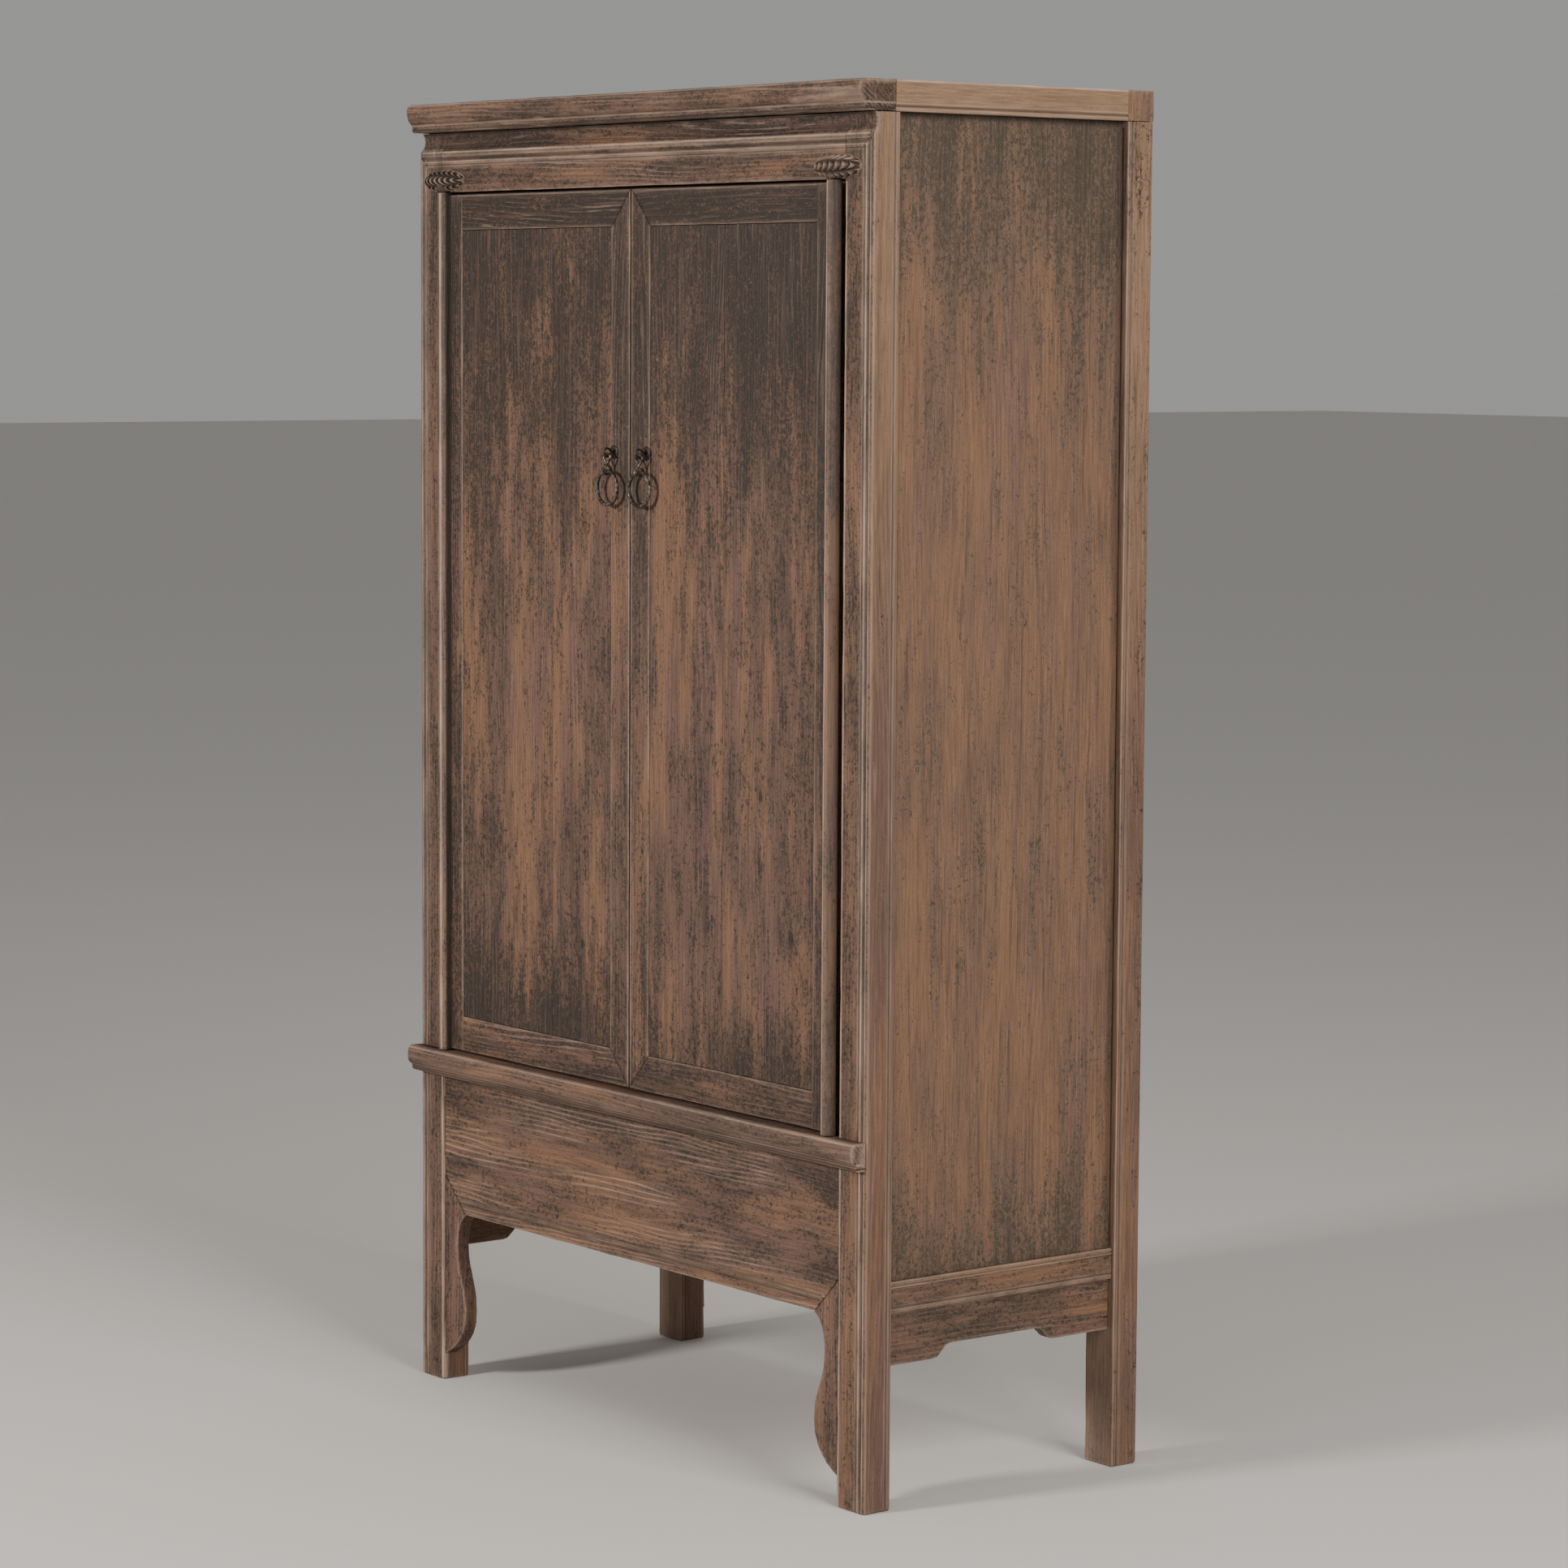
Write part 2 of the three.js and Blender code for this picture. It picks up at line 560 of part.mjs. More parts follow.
// The loose front part of the cabinet's floor, over the lower compartment.
function compartmentLid() {
  const slot = [LID_BACK - FINGER_SLOT.depth, LID_BACK + 1];
  return cut(
    box([-INSIDE_PANEL_X + 1, INSIDE_PANEL_X - 1], [FRONT_POST_BACK + 1, LID_BACK - 1], FLOOR_Z),
    box([-FINGER_SLOT.width / 2, FINGER_SLOT.width / 2], slot, grown(FLOOR_Z, 1)),
  );
}

function floorBoard() {
  return join(
    box([-INSIDE_PANEL_X, INSIDE_PANEL_X], [LID_BACK, BACK_POST_FRONT - GAP], FLOOR_Z),
    box(INSIDE_X, [LID_BACK, INSIDE_BACK_Y], FLOOR_Z),
  );
}

function shelf(top) {
  const y = [FRONT_POST_BACK + SHELF_INSET, BACK_POST_FRONT - GAP];
  return box([-INSIDE_PANEL_X, INSIDE_PANEL_X], y, [top - BOARD, top]);
}

// A strip along a side panel that carries the end of a shelf or of the floor.
function bearer(top) {
  const z = top - BOARD - GAP;
  return box([INSIDE_PANEL_X - BEARER_WIDTH, INSIDE_PANEL_X], SIDE_Y, [z - BEARER_HEIGHT, z]);
}

// ---- Doors -------------------------------------------------------------------------------------------

const ROD_Z = [SILL_Z[1] + 2 * GAP, FRIEZE_Z[0] - 2 * GAP];
const DOOR_Y = [DOOR_FRONT, DOOR_BACK];
const MEETING_X = [DOOR_MEETING, DOOR_MEETING + MEETING_STILE];
const OPENING_Z = [DOOR_Z[0] + DOOR_RAIL, DOOR_Z[1] - DOOR_RAIL];
const TONGUE = 4;
const PANEL_Y = [DOOR_FRONT + DOOR_PANEL_RECESS, DOOR_FRONT + DOOR_PANEL_RECESS + DOOR_PANEL];
const TONGUE_Y = [PANEL_Y[0] + 4, PANEL_Y[0] + 10];
const DOOR_TENON_Y = [TONGUE_Y[0], TONGUE_Y[1] + 3];

// A door rail's tenons enter the meeting stile behind the mitre, and the pivot stile.
function doorTenons(z) {
  const height = [z[0] + 16, z[1] - 16];
  return [
    { x: [MEETING_X[0] + 12, MEETING_X[1] + 8], y: DOOR_TENON_Y, z: height },
    { x: [STILE_INNER_X - 8, STILE_INNER_X + 24], y: DOOR_TENON_Y, z: height },
  ];
}

const TOP_RAIL_Z = [OPENING_Z[1], DOOR_Z[1]];
const BOTTOM_RAIL_Z = [DOOR_Z[0], OPENING_Z[0]];
const PANEL_GROOVE = {
  x: [MEETING_X[1] - TONGUE, STILE_INNER_X + TONGUE],
  y: TONGUE_Y,
  z: [OPENING_Z[0] - TONGUE, OPENING_Z[1] + TONGUE],
};

// The upright that the door turns on: a round rod with a pin at each end, and the flat stile beside it.
function pivotStile() {
  const pin = [ROD_Z[0] - PIN_LENGTH, ROD_Z[1] + PIN_LENGTH];
  const body = join(
    upright(PIVOT_X, PIVOT_Y, ROD_RADIUS, ROD_Z),
    upright(PIVOT_X, PIVOT_Y, PIN_RADIUS, pin),
    box([STILE_INNER_X, PIVOT_X], DOOR_Y, DOOR_Z),
  );
  const railTenons = [TOP_RAIL_Z, BOTTOM_RAIL_Z].map((z) => doorTenons(z)[1]);
  return cut(body, mortise(PANEL_GROOVE), ...railTenons.map(mortise));
}

function meetingStile() {
  const [outer, inner] = MEETING_X;
  const shape = outline([outer, DOOR_Z[0]], [inner, OPENING_Z[0]], [inner, OPENING_Z[1]], [outer, DOOR_Z[1]]);
  const pinHole = pointingBack(PULL_X, EYE_Z, SHANK_RADIUS + PIN_CLEARANCE, grown(DOOR_Y, 1));
  const railTenons = [TOP_RAIL_Z, BOTTOM_RAIL_Z].map((z) => doorTenons(z)[0]);
  return cut(alongY(shape, DOOR_Y), mortise(PANEL_GROOVE), ...railTenons.map(mortise), pinHole);
}

// A door rail: `outside` is its outer edge, `inside` the edge towards the panel.
function doorRail(outside, inside, z) {
  const mitreGap = 2 * GAP;
  const end = STILE_INNER_X - GAP;
  const shape = outline(
    [MEETING_X[0] + mitreGap, outside],
    [MEETING_X[1] + mitreGap, inside],
    [end, inside],
    [end, outside],
  );
  return join(cut(alongY(shape, DOOR_Y), mortise(PANEL_GROOVE)), ...doorTenons(z).map(tenon));
}

// One board of a door panel. Its back half is a tongue on each edge that a frame member holds.
function doorBoard([low, high], tongueX) {
  return join(
    box([low, high], PANEL_Y, shrunk(OPENING_Z)),
    box(tongueX, TONGUE_Y, PANEL_GROOVE.z),
  );
}

function batten() {
  return box(shrunk([MEETING_X[1], STILE_INNER_X]), [PANEL_Y[1] + GAP, DOOR_BACK - 1], BATTEN_Z);
}

// ---- Pulls -------------------------------------------------------------------------------------------

const SHANK_RADIUS = 2.2;
const ROSETTE = { radius: 8.5, thickness: 1.6 };
const CLINCH = 13; // how far each leg of the cotter is bent over, inside the door
const EYE_Y = DOOR_FRONT - EYE_PROUD;
const LINK_TOP = EYE_Z - EYE_RADIUS + EYE_WIRE + LINK_WIRE + GAP;
const LINK_BOTTOM = LINK_TOP - LINK_HEIGHT;
const RING_TOP = LINK_BOTTOM + LINK_WIRE + RING_WIRE + GAP;

function rosette() {
  const y = [DOOR_FRONT - GAP - ROSETTE.thickness, DOOR_FRONT - GAP];
  return cut(
    pointingBack(0, EYE_Z, ROSETTE.radius, y, 20),
    pointingBack(0, EYE_Z, SHANK_RADIUS + PIN_CLEARANCE, grown(y, 1)),
  );
}

// The split pin that carries the link: an eye in front, a shank through the stile and two bent legs inside.
function cotterPin() {
  const eye = new THREE.TorusGeometry(EYE_RADIUS, EYE_WIRE, 8, 20);
  eye.rotateY(Math.PI / 2);
  eye.translate(0, EYE_Y, EYE_Z);
  const legsY = [DOOR_BACK + GAP, DOOR_BACK + GAP + 2.4];
  return join(
    solid(eye),
    pointingBack(0, EYE_Z, SHANK_RADIUS, [EYE_Y + EYE_RADIUS - 0.5, legsY[1]], 10),
    box([-SHANK_RADIUS, SHANK_RADIUS], legsY, [EYE_Z - CLINCH, EYE_Z + CLINCH]),
  );
}

// The wire of the twisted link: a long loop drawn in to a waist at half its height, where it also turns
// through a right angle, so that the lower loop stands square to the upper one.
class LinkCurve extends THREE.Curve {
  getPoint(t, target = new THREE.Vector3()) {
    const turn = 2 * Math.PI * t;
    const down = (1 - Math.cos(turn)) / 2;
    const side = Math.sin(turn) * Math.hypot(2 * LINK_HALF_WIDTH * Math.cos(turn), LINK_WAIST);
    const twist = -(Math.PI / 2) * THREE.MathUtils.smoothstep(down, 0.34, 0.66);
    const z = LINK_TOP - LINK_HEIGHT * down;
    return target.set(side * Math.cos(twist), EYE_Y + side * Math.sin(twist), z);
  }
}

function twistedLink() {
  return closedTube(new LinkCurve(), 56, LINK_WIRE, 8);
}

function pullRing() {
  const ring = new THREE.TorusGeometry(RING_RADIUS, RING_WIRE, 8, 36);
  ring.rotateX(Math.PI / 2);
  ring.translate(0, EYE_Y, RING_TOP - RING_RADIUS);
  return solid(ring);
}

// ---- Assembly ----------------------------------------------------------------------------------------

const carcass = new THREE.Group();
carcass.add(
  ...pair("post_front", frontPost(), "carcass"),
  ...pair("post_back", backPost(), "carcass"),
  node("crown_rail_front", crownFront(), "carcass"),
  node("crown_rail_back", crownBack(), "carcass"),
  ...pair("crown_rail_side", crownSide(), "carcass"),
  node("top_board_front", topBoard([CROWN_FRONT_BACK - GROOVE, 9]), "interior"),
  node("top_board_back", topBoard([9 + GAP, BACK_POST_FRONT + GROOVE]), "interior"),
  node("frieze_rail", frieze(), "carcass"),
  ...pair("pivot_socket", pivotSocket(), "carcass"),
  node("sill", sill(), "carcass"),
  node("front_apron", frontApron(), "carcass"),
  ...pair("leg_bracket", legBracket(), "carcass"),
  ...pair("side_panel", sidePanel(), "carcass"),
  ...pair("side_rail", sideRail(), "carcass"),
  ...pair("side_apron", sideApron(), "carcass"),
  node("back_rail", backRail(), "carcass"),
  node("base_board", baseBoard(), "interior"),
  node("floor_board", floorBoard(), "interior"),
  node("compartment_lid", compartmentLid(), "interior"),
  ...pair("floor_bearer", bearer(FLOOR_TOP), "interior"),
);
for (let i = 0; i < BACK_BOARDS; i++) {
  carcass.add(node(`back_board_${i + 1}`, backBoard(i), "interior"));
}
SHELF_TOPS.forEach((top, i) => {
  carcass.add(
    node(`shelf_${i + 1}`, shelf(top), "interior"),
    ...pair(`shelf_bearer_${i + 1}`, bearer(top), "interior"),
  );
});

// A door, built on the right. The left one is its mirror image, with its own board widths.
function door(side) {
  const jointX = BOARD_JOINT_X[side];
  const [tongueLow, tongueHigh] = PANEL_GROOVE.x;
  const innerBoard = [MEETING_X[1] + GAP, jointX - GAP / 2];
  const outerBoard = [jointX + GAP / 2, STILE_INNER_X - GAP];
  const named = (piece) => `door_${piece}_${side}`;
  const group = new THREE.Group();
  group.add(
    node(named("pivot_stile"), pivotStile(), "door"),
    node(named("meeting_stile"), meetingStile(), "door"),
    node(named("top_rail"), doorRail(DOOR_Z[1], OPENING_Z[1], TOP_RAIL_Z), "door"),
    node(named("bottom_rail"), doorRail(DOOR_Z[0], OPENING_Z[0], BOTTOM_RAIL_Z), "door"),
    node(named("inner_board"), doorBoard(innerBoard, [tongueLow, innerBoard[1]]), "door"),
    node(named("outer_board"), doorBoard(outerBoard, [outerBoard[0], tongueHigh]), "door"),
    node(named("batten"), batten(), "door"),
  );
  group.scale.x = side === "left" ? -1 : 1;
  return group;
}

// Both pulls are made to the same hand, so they are placed and not mirrored.
function pull(side) {
  const group = new THREE.Group();
  group.add(
    node(`pull_rosette_${side}`, rosette(), "iron"),
    node(`pull_cotter_${side}`, cotterPin(), "iron"),
    node(`pull_link_${side}`, twistedLink(), "iron"),
    node(`pull_ring_${side}`, pullRing(), "iron"),
  );
  group.position.x = side === "left" ? -PULL_X : PULL_X;
  return group;
}

const armoire = new THREE.Group();
armoire.add(carcass, door("right"), door("left"), pull("right"), pull("left"));

export default armoire;
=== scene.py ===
import json
import math

import bmesh
import bpy
import numpy as np
from mathutils import Matrix, Vector
from mathutils.bvhtree import BVHTree


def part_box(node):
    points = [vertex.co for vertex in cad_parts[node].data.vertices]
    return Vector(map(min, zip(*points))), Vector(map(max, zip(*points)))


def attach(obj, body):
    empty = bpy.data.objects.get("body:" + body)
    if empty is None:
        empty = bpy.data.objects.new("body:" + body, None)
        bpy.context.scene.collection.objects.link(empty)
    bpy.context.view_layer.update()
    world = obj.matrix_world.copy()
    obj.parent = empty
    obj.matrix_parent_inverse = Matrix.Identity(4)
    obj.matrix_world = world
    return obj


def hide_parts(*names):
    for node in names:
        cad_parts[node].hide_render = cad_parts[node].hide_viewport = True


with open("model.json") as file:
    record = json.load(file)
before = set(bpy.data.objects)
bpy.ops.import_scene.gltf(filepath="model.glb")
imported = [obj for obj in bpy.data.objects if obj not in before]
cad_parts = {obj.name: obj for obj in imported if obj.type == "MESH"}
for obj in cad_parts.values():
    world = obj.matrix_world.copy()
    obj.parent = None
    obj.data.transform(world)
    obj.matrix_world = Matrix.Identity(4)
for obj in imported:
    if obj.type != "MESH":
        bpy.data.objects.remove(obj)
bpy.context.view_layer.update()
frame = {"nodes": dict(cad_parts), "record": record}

# The finished armoire around its CAD frame: worn, once lacquered wood with forged iron pulls.
# Metres, +Z up, the doors face -Y.

MM = 0.001
SIDES = ("right", "left")
body_of = {
    node: body
    for body, nodes in frame["record"]["behaviour"]["bodies"].items()
    for node in nodes
}
tree_of = {}
for node, piece in frame["nodes"].items():
    points = [piece.matrix_world @ vertex.co for vertex in piece.data.vertices]
    tree_of[node] = BVHTree.FromPolygons(points, [tuple(face.vertices) for face in piece.data.polygons])


# ---- Camera, light and floor --------------------------------------------------------------------

CAMERA_AT = (5.260, -4.055, 1.579)
CAMERA_YAW, CAMERA_PITCH, CAMERA_ROLL = math.radians(52.09), math.radians(-5.62), math.radians(0.32)
CAMERA_LENS = 106.8


def add_camera():
    data = bpy.data.cameras.new("camera")
    data.lens = CAMERA_LENS
    camera = bpy.data.objects.new("camera", data)
    bpy.context.collection.objects.link(camera)
    turn = Matrix.Rotation(CAMERA_YAW, 4, "Z")
    tip = Matrix.Rotation(math.pi / 2 + CAMERA_PITCH, 4, "X")
    roll = Matrix.Rotation(CAMERA_ROLL, 4, "Z")
    camera.matrix_world = Matrix.Translation(CAMERA_AT) @ turn @ tip @ roll
    bpy.context.scene.camera = camera


def add_area_light(name, at, target, size, power, colour):
    data = bpy.data.lights.new(name, "AREA")
    data.size = size
    data.energy = power
    data.color = colour
    light = bpy.data.objects.new(name, data)
    bpy.context.collection.objects.link(light)
    light.location = at
    light.rotation_euler = (Vector(target) - Vector(at)).to_track_quat("-Z", "Y").to_euler()


def add_studio():
    add_area_light("key", (-0.5, -5.4, 2.5), (0, -0.25, 1.0), 0.8, 300, (1.0, 0.96, 0.91))
    add_area_light("right_fill", (5.6, -0.6, 3.4), (0.5, 0, 0.9), 2.6, 330, (1.0, 0.97, 0.93))
    world = bpy.data.worlds.new("studio")
    world.use_nodes = True
    background = world.node_tree.nodes["Background"]
    background.inputs["Color"].default_value = (0.80, 0.79, 0.78, 1)
    background.inputs["Strength"].default_value = 0.42
    bpy.context.scene.world = world
    reach = 60
    mesh = bpy.data.meshes.new("floor")
    corners = [(-reach, -reach, 0), (reach, -reach, 0), (reach, reach, 0), (-reach, reach, 0)]
    mesh.from_pydata(corners, [], [(0, 1, 2, 3)])
    floor = bpy.data.objects.new("floor", mesh)
    bpy.context.collection.objects.link(floor)
    material = bpy.data.materials.new("floor")
    material.use_nodes = True
    shader = material.node_tree.nodes["Principled BSDF"]
    shader.inputs["Base Color"].default_value = (0.62, 0.60, 0.57, 1)
    shader.inputs["Roughness"].default_value = 0.85
    mesh.materials.append(material)


# ---- Shader building ----------------------------------------------------------------------------


class Shader:
    """A material and short ways to add nodes to it."""

    def __init__(self, name):
        self.material = bpy.data.materials.new(name)
        self.material.use_nodes = True
        self.tree = self.material.node_tree
        self.surface = self.tree.nodes["Principled BSDF"]

    def add(self, kind, inputs, **settings):
        node = self.tree.nodes.new(kind)
        for key, value in settings.items():
            setattr(node, key, value)
        for key, value in inputs.items():
            self.put(node.inputs[key], value)
        return node

    def put(self, socket, value):
        if isinstance(value, bpy.types.NodeSocket):
            self.tree.links.new(value, socket)
        else:
            socket.default_value = value

    def math(self, operation, a, b=0.0, clamp=False):
        node = self.add("ShaderNodeMath", {0: a, 1: b}, operation=operation, use_clamp=clamp)
        return node.outputs[0]

    def vector(self, operation, a, b):
        node = self.add("ShaderNodeVectorMath", {0: a, 1: b}, operation=operation)
        return node.outputs[0]

    def noise(self, vector, scale, detail=4.0, roughness=0.55, distortion=0.0):
        inputs = {
            "Vector": vector,
            "Scale": scale,
            "Detail": detail,
            "Roughness": roughness,
            "Distortion": distortion,
        }
        return self.add("ShaderNodeTexNoise", inputs).outputs[0]

    def step(self, value, low, high, bottom=0.0, top=1.0):
        """Rises smoothly from bottom to top as value goes from low to high."""
        inputs = {"Value": value, 1: low, 2: high, 3: bottom, 4: top}
        return self.add("ShaderNodeMapRange", inputs, interpolation_type="SMOOTHSTEP").outputs[0]

    def mix(self, factor, a, b, blend="MIX"):
        node = self.tree.nodes.new("ShaderNodeMix")
        node.data_type = "RGBA"
        node.blend_type = blend
        self.put(node.inputs[0], factor)
        for socket, value in ((node.inputs[6], a), (node.inputs[7], b)):
            self.put(socket, value if isinstance(value, bpy.types.NodeSocket) else (*value, 1))
        return node.outputs[2]

    def ramp(self, factor, *stops):
        node = self.add("ShaderNodeValToRGB", {0: factor})
        elements = node.color_ramp.elements
        while len(elements) < len(stops):
            elements.new(0.5)
        for element, (position, colour) in zip(elements, stops):
            element.position = position
            element.color = (*colour, 1)
        return node.outputs[0]

    def attribute(self, name):
        return self.add("ShaderNodeAttribute", {}, attribute_name=name).outputs["Fac"]


# ---- Wood and iron ------------------------------------------------------------------------------

CREAM = (0.44, 0.32, 0.245)
TAN = (0.235, 0.142, 0.085)
AMBER = (0.164, 0.086, 0.049)
BROWN = (0.112, 0.064, 0.046)
ROSE = (0.116, 0.062, 0.052)
UMBER = (0.048, 0.028, 0.020)
LACQUER = (0.0165, 0.0120, 0.0088)
OLIVE = (0.078, 0.059, 0.041)
# The darkest brown: knot cores and dark crackle, and also painted shade in hollows, grooves and under lips.
DIRT_AND_SHADE = (0.010, 0.007, 0.005)
IRON_HOLLOW = (0.010, 0.0075, 0.006)
IRON_SKIN = (0.030, 0.022, 0.018)
IRON_HIGH = (0.10, 0.078, 0.064)
IRON_RUBBED = (0.26, 0.215, 0.18)
RUST = (0.070, 0.032, 0.018)
RING_SPACING = 7.5 * MM
NOISE_GAIN = 8.5
SQUARE_EDGE = 0.34
ROD = (458.5 * MM, -238 * MM, 10.5 * MM)


def wood(
    name, grain, lacquer=0.0, tan=0.0, fades=(), tans=(), beads=(), knots=(), haze=0.0, lines=0.25,
    wear=0.7, figure=0.5, bare_sides=0.0,
):
    """Old wood whose fibres follow the axis grain, with what is left of a dark finish.

    lacquer: how much of the finish is left, from -2 for hardly any to 2 for nearly all.
    tan: how far the bare wood is bleached.
    fades, tans: each (axis, from, to, amount). That much more lacquer is left, or that much more of
        a side face is bleached, as the coordinate goes from one value to the other.
    beads: each (axis, at, half width, amount), a pale line along a worn edge that is partly a painted
    highlight, or, if the amount is negative, a dark line of painted shadow.
    knots: each (x, z, radius).
    haze: how grey and crackled the finish is.
    lines, figure: how pale the hard rings of the grain are, and how strong the rings are.
    wear: how pale the worn edges are.
    bare_sides: how much less finish is left on faces that look along X.

    Beside X, Y and Z an axis can be "mirrored", the distance from the middle. The "upright", "inner" and
    "level" beads of the posts and the frieze stop where they meet each other.
    """
    s = Shader(name)
    axis_number = "XYZ".index(grain)
    coordinates = s.add("ShaderNodeTexCoord", {}).outputs
    place = coordinates["Object"]
    x, y, z = s.add("ShaderNodeSeparateXYZ", {0: place}).outputs
    turned = s.math("ABSOLUTE", s.add("ShaderNodeSeparateXYZ", {0: coordinates["Normal"]}).outputs[0])
    on_side = s.step(turned, 0.6, 0.95)
    mirrored = s.math("ABSOLUTE", x)
    above = s.step(z, 1.820, 1.826, 0.0, 9.0)
    outside = s.math("ADD", s.math("MULTIPLY", on_side, 9.0), s.step(mirrored, 0.525, 0.529, 0.0, 9.0))
    along = {
        "X": x,
        "Y": y,
        "Z": z,
        "mirrored": mirrored,
        "upright bead": s.math("ADD", mirrored, above),
        "inner bead": s.math("ADD", mirrored, s.step(z, 1.768, 1.772, 0.0, 9.0)),
        "level bead": s.math("ADD", z, outside),
    }
    shift = s.math("MULTIPLY", s.attribute("board"), 7.3)
    moved = s.vector("ADD", place, s.add("ShaderNodeCombineXYZ", {0: shift, 1: shift, 2: shift}).outputs[0])

    def field(scale, stretch, detail=4.0, roughness=0.55, distortion=0.0):
        """Noise drawn out along the grain, centred on 0 and mostly between -1.5 and 1.5."""
        factors = [1.0, 1.0, 1.0]
        factors[axis_number] = 1 / stretch
        value = s.noise(s.vector("MULTIPLY", moved, factors), scale, detail, roughness, distortion)
        return s.math("MULTIPLY", s.math("SUBTRACT", value, 0.5), NOISE_GAIN)

    def total(*terms):
        result = 0.0
        for value, weight in terms:
            inputs = {0: value, 1: weight, 2: result}
            result = s.add("ShaderNodeMath", inputs, operation="MULTIPLY_ADD").outputs[0]
        return result

    strips = field(24, 9, 3, 0.5, 0.3)
    bands = field(17, 6, 3, 0.6, 0.3)
    streaks = field(130, 22, 4, 0.6, 0.15)
    fibres = field(620, 30, 2, 0.6)
    patches = field(10.5, 3.0, 4, 0.62, 0.4)
    runs = field(54, 5.0, 4, 0.64, 0.3)
    flakes = field(210, 1.5, 3, 0.68, 1.0)
    crackle = field(430, 1.2, 2, 0.6, 1.4)

    parts = s.add("ShaderNodeSeparateXYZ", {0: moved}).outputs
    across = s.math("ADD", parts[(axis_number + 1) % 3], parts[(axis_number + 2) % 3])
    turns = total((across, 2 * math.pi / RING_SPACING), (field(6, 5, 2, 0.45), 9.0), (streaks, 1.1))
    cores = []
    for knot_x, knot_z, radius in knots:
        flat = s.vector("MULTIPLY", place, (1, 0, 0.5))
        reach = s.add("ShaderNodeVectorMath", {0: flat, 1: (knot_x, 0, knot_z / 2)}, operation="DISTANCE")
        cores.append(s.step(reach.outputs["Value"], radius, 0.45 * radius))
        turns = s.math("ADD", turns, s.step(reach.outputs["Value"], 5 * radius, 0.0, 0.0, 26.0))
    rings = s.math("ADD", s.math("SINE", turns), s.math("MULTIPLY", runs, 0.35))

    bare = s.mix(s.step(bands, 0.9, -0.9), BROWN, AMBER)
    bare = s.mix(s.step(strips, -0.2, 1.6, 0.0, 0.85), bare, ROSE)
    bleach = tan
    for axis, low, high, amount in tans:
        bleached = s.math("MULTIPLY", s.step(along[axis], low, high, 0.0, amount), on_side)
        bleach = s.math("ADD", bleach, bleached)
    bare = s.mix(bleach, bare, TAN)
    bare = s.mix(s.step(streaks, 0.1, 2.0, 0.0, 0.5), bare, UMBER)
    bare = s.mix(s.step(rings, -0.2, -1.2, 0.0, 0.7 * figure), bare, UMBER)
    fibre_shade = s.step(fibres, -1.6, 1.6, 0.82, 1.18)
    shade = s.math("MULTIPLY", fibre_shade, s.step(crackle, -2.0, 2.0, 0.82, 1.18))
    grey = s.add("ShaderNodeCombineColor", {0: shade, 1: shade, 2: shade}).outputs[0]
    bare = s.mix(1.0, bare, grey, "MULTIPLY")

    left = total((patches, 0.36), (bands, 0.5), (runs, 0.75), (streaks, 0.22))
    left = s.math("ADD", left, lacquer)
    for axis, low, high, amount in fades:
        left = s.math("ADD", left, s.step(along[axis], low, high, 0.0, amount))
    left = total((on_side, -bare_sides), (left, 1.0))
    stain = s.step(left, -1.0, 2.2, 0.0, 0.75)
    mask = s.step(total((left, 1.0), (flakes, 1.7)), 0.0, 2.3, 0.0, 0.93)
    bloom = s.step(crackle, -0.3, 1.9, 0.45 * haze, 0.12 + 0.75 * haze)
    film = s.mix(bloom, LACQUER, OLIVE)
    film = s.mix(s.step(fibres, -0.4, 1.6, 0.0, 0.35), film, UMBER)
    film = s.mix(s.step(streaks, 0.3, 2.2, 0.0, 0.75), film, BROWN)
    colour = s.mix(stain, bare, s.mix(haze, UMBER, OLIVE))
    colour = s.mix(mask, colour, film)
    for core in cores:
        colour = s.mix(s.math("MULTIPLY", core, 0.8), colour, DIRT_AND_SHADE)

    colour = s.mix(s.step(crackle, 0.75, 2.2, 0.0, 0.7), colour, DIRT_AND_SHADE)
    colour = s.mix(s.step(crackle, -1.0, -2.2, 0.0, 0.34), colour, CREAM)
    uneven = s.step(runs, -1.8, 0.9, 1.0, 0.5)
    hard = s.math("MULTIPLY", s.step(rings, 0.62, 1.25), s.step(strips, -0.9, 1.4, 0.25, 1.0))
    colour = s.mix(s.math("MULTIPLY", hard, lines), colour, CREAM)
    worn = s.math("MULTIPLY", s.attribute("wear"), wear)
    # The dark mask: painted shade in hollows and grooves from the mesh attribute, with faint dark joints.
    dark = s.math("MULTIPLY", s.attribute("hollow_shade_and_joints"), 0.85)
    # Pale bead lines are worn edges and partly painted highlights; dark bead lines are painted shadow
    # lines.
    for axis, at, half_width, amount in beads:
        offset = s.math("ABSOLUTE", s.math("SUBTRACT", along[axis], at))
        line = s.step(offset, half_width, 0.3 * half_width, 0.0, abs(amount))
        if amount > 0:
            worn = s.math("MAXIMUM", worn, line)
        else:
            dark = s.math("MAXIMUM", dark, line)
    colour = s.mix(s.math("MULTIPLY", worn, uneven, clamp=True), colour, CREAM)
    colour = s.mix(dark, colour, DIRT_AND_SHADE)
    s.put(s.surface.inputs["Base Color"], colour)

    rough = s.step(streaks, -1.5, 1.5, 0.74, 0.58)
    s.put(s.surface.inputs["Roughness"], s.math("SUBTRACT", rough, s.math("MULTIPLY", mask, 0.06)))
    s.surface.inputs["Specular IOR Level"].default_value = 0.28

    flaking = s.math("MULTIPLY", flakes, mask)
    height = total((streaks, 0.17), (fibres, 0.06), (flaking, 0.09), (rings, 0.3 * figure))
    bump = s.add("ShaderNodeBump", {"Strength": 0.7, "Distance": 1.2 * MM, "Height": height})
    s.put(s.surface.inputs["Normal"], bump.outputs[0])
    return s.material


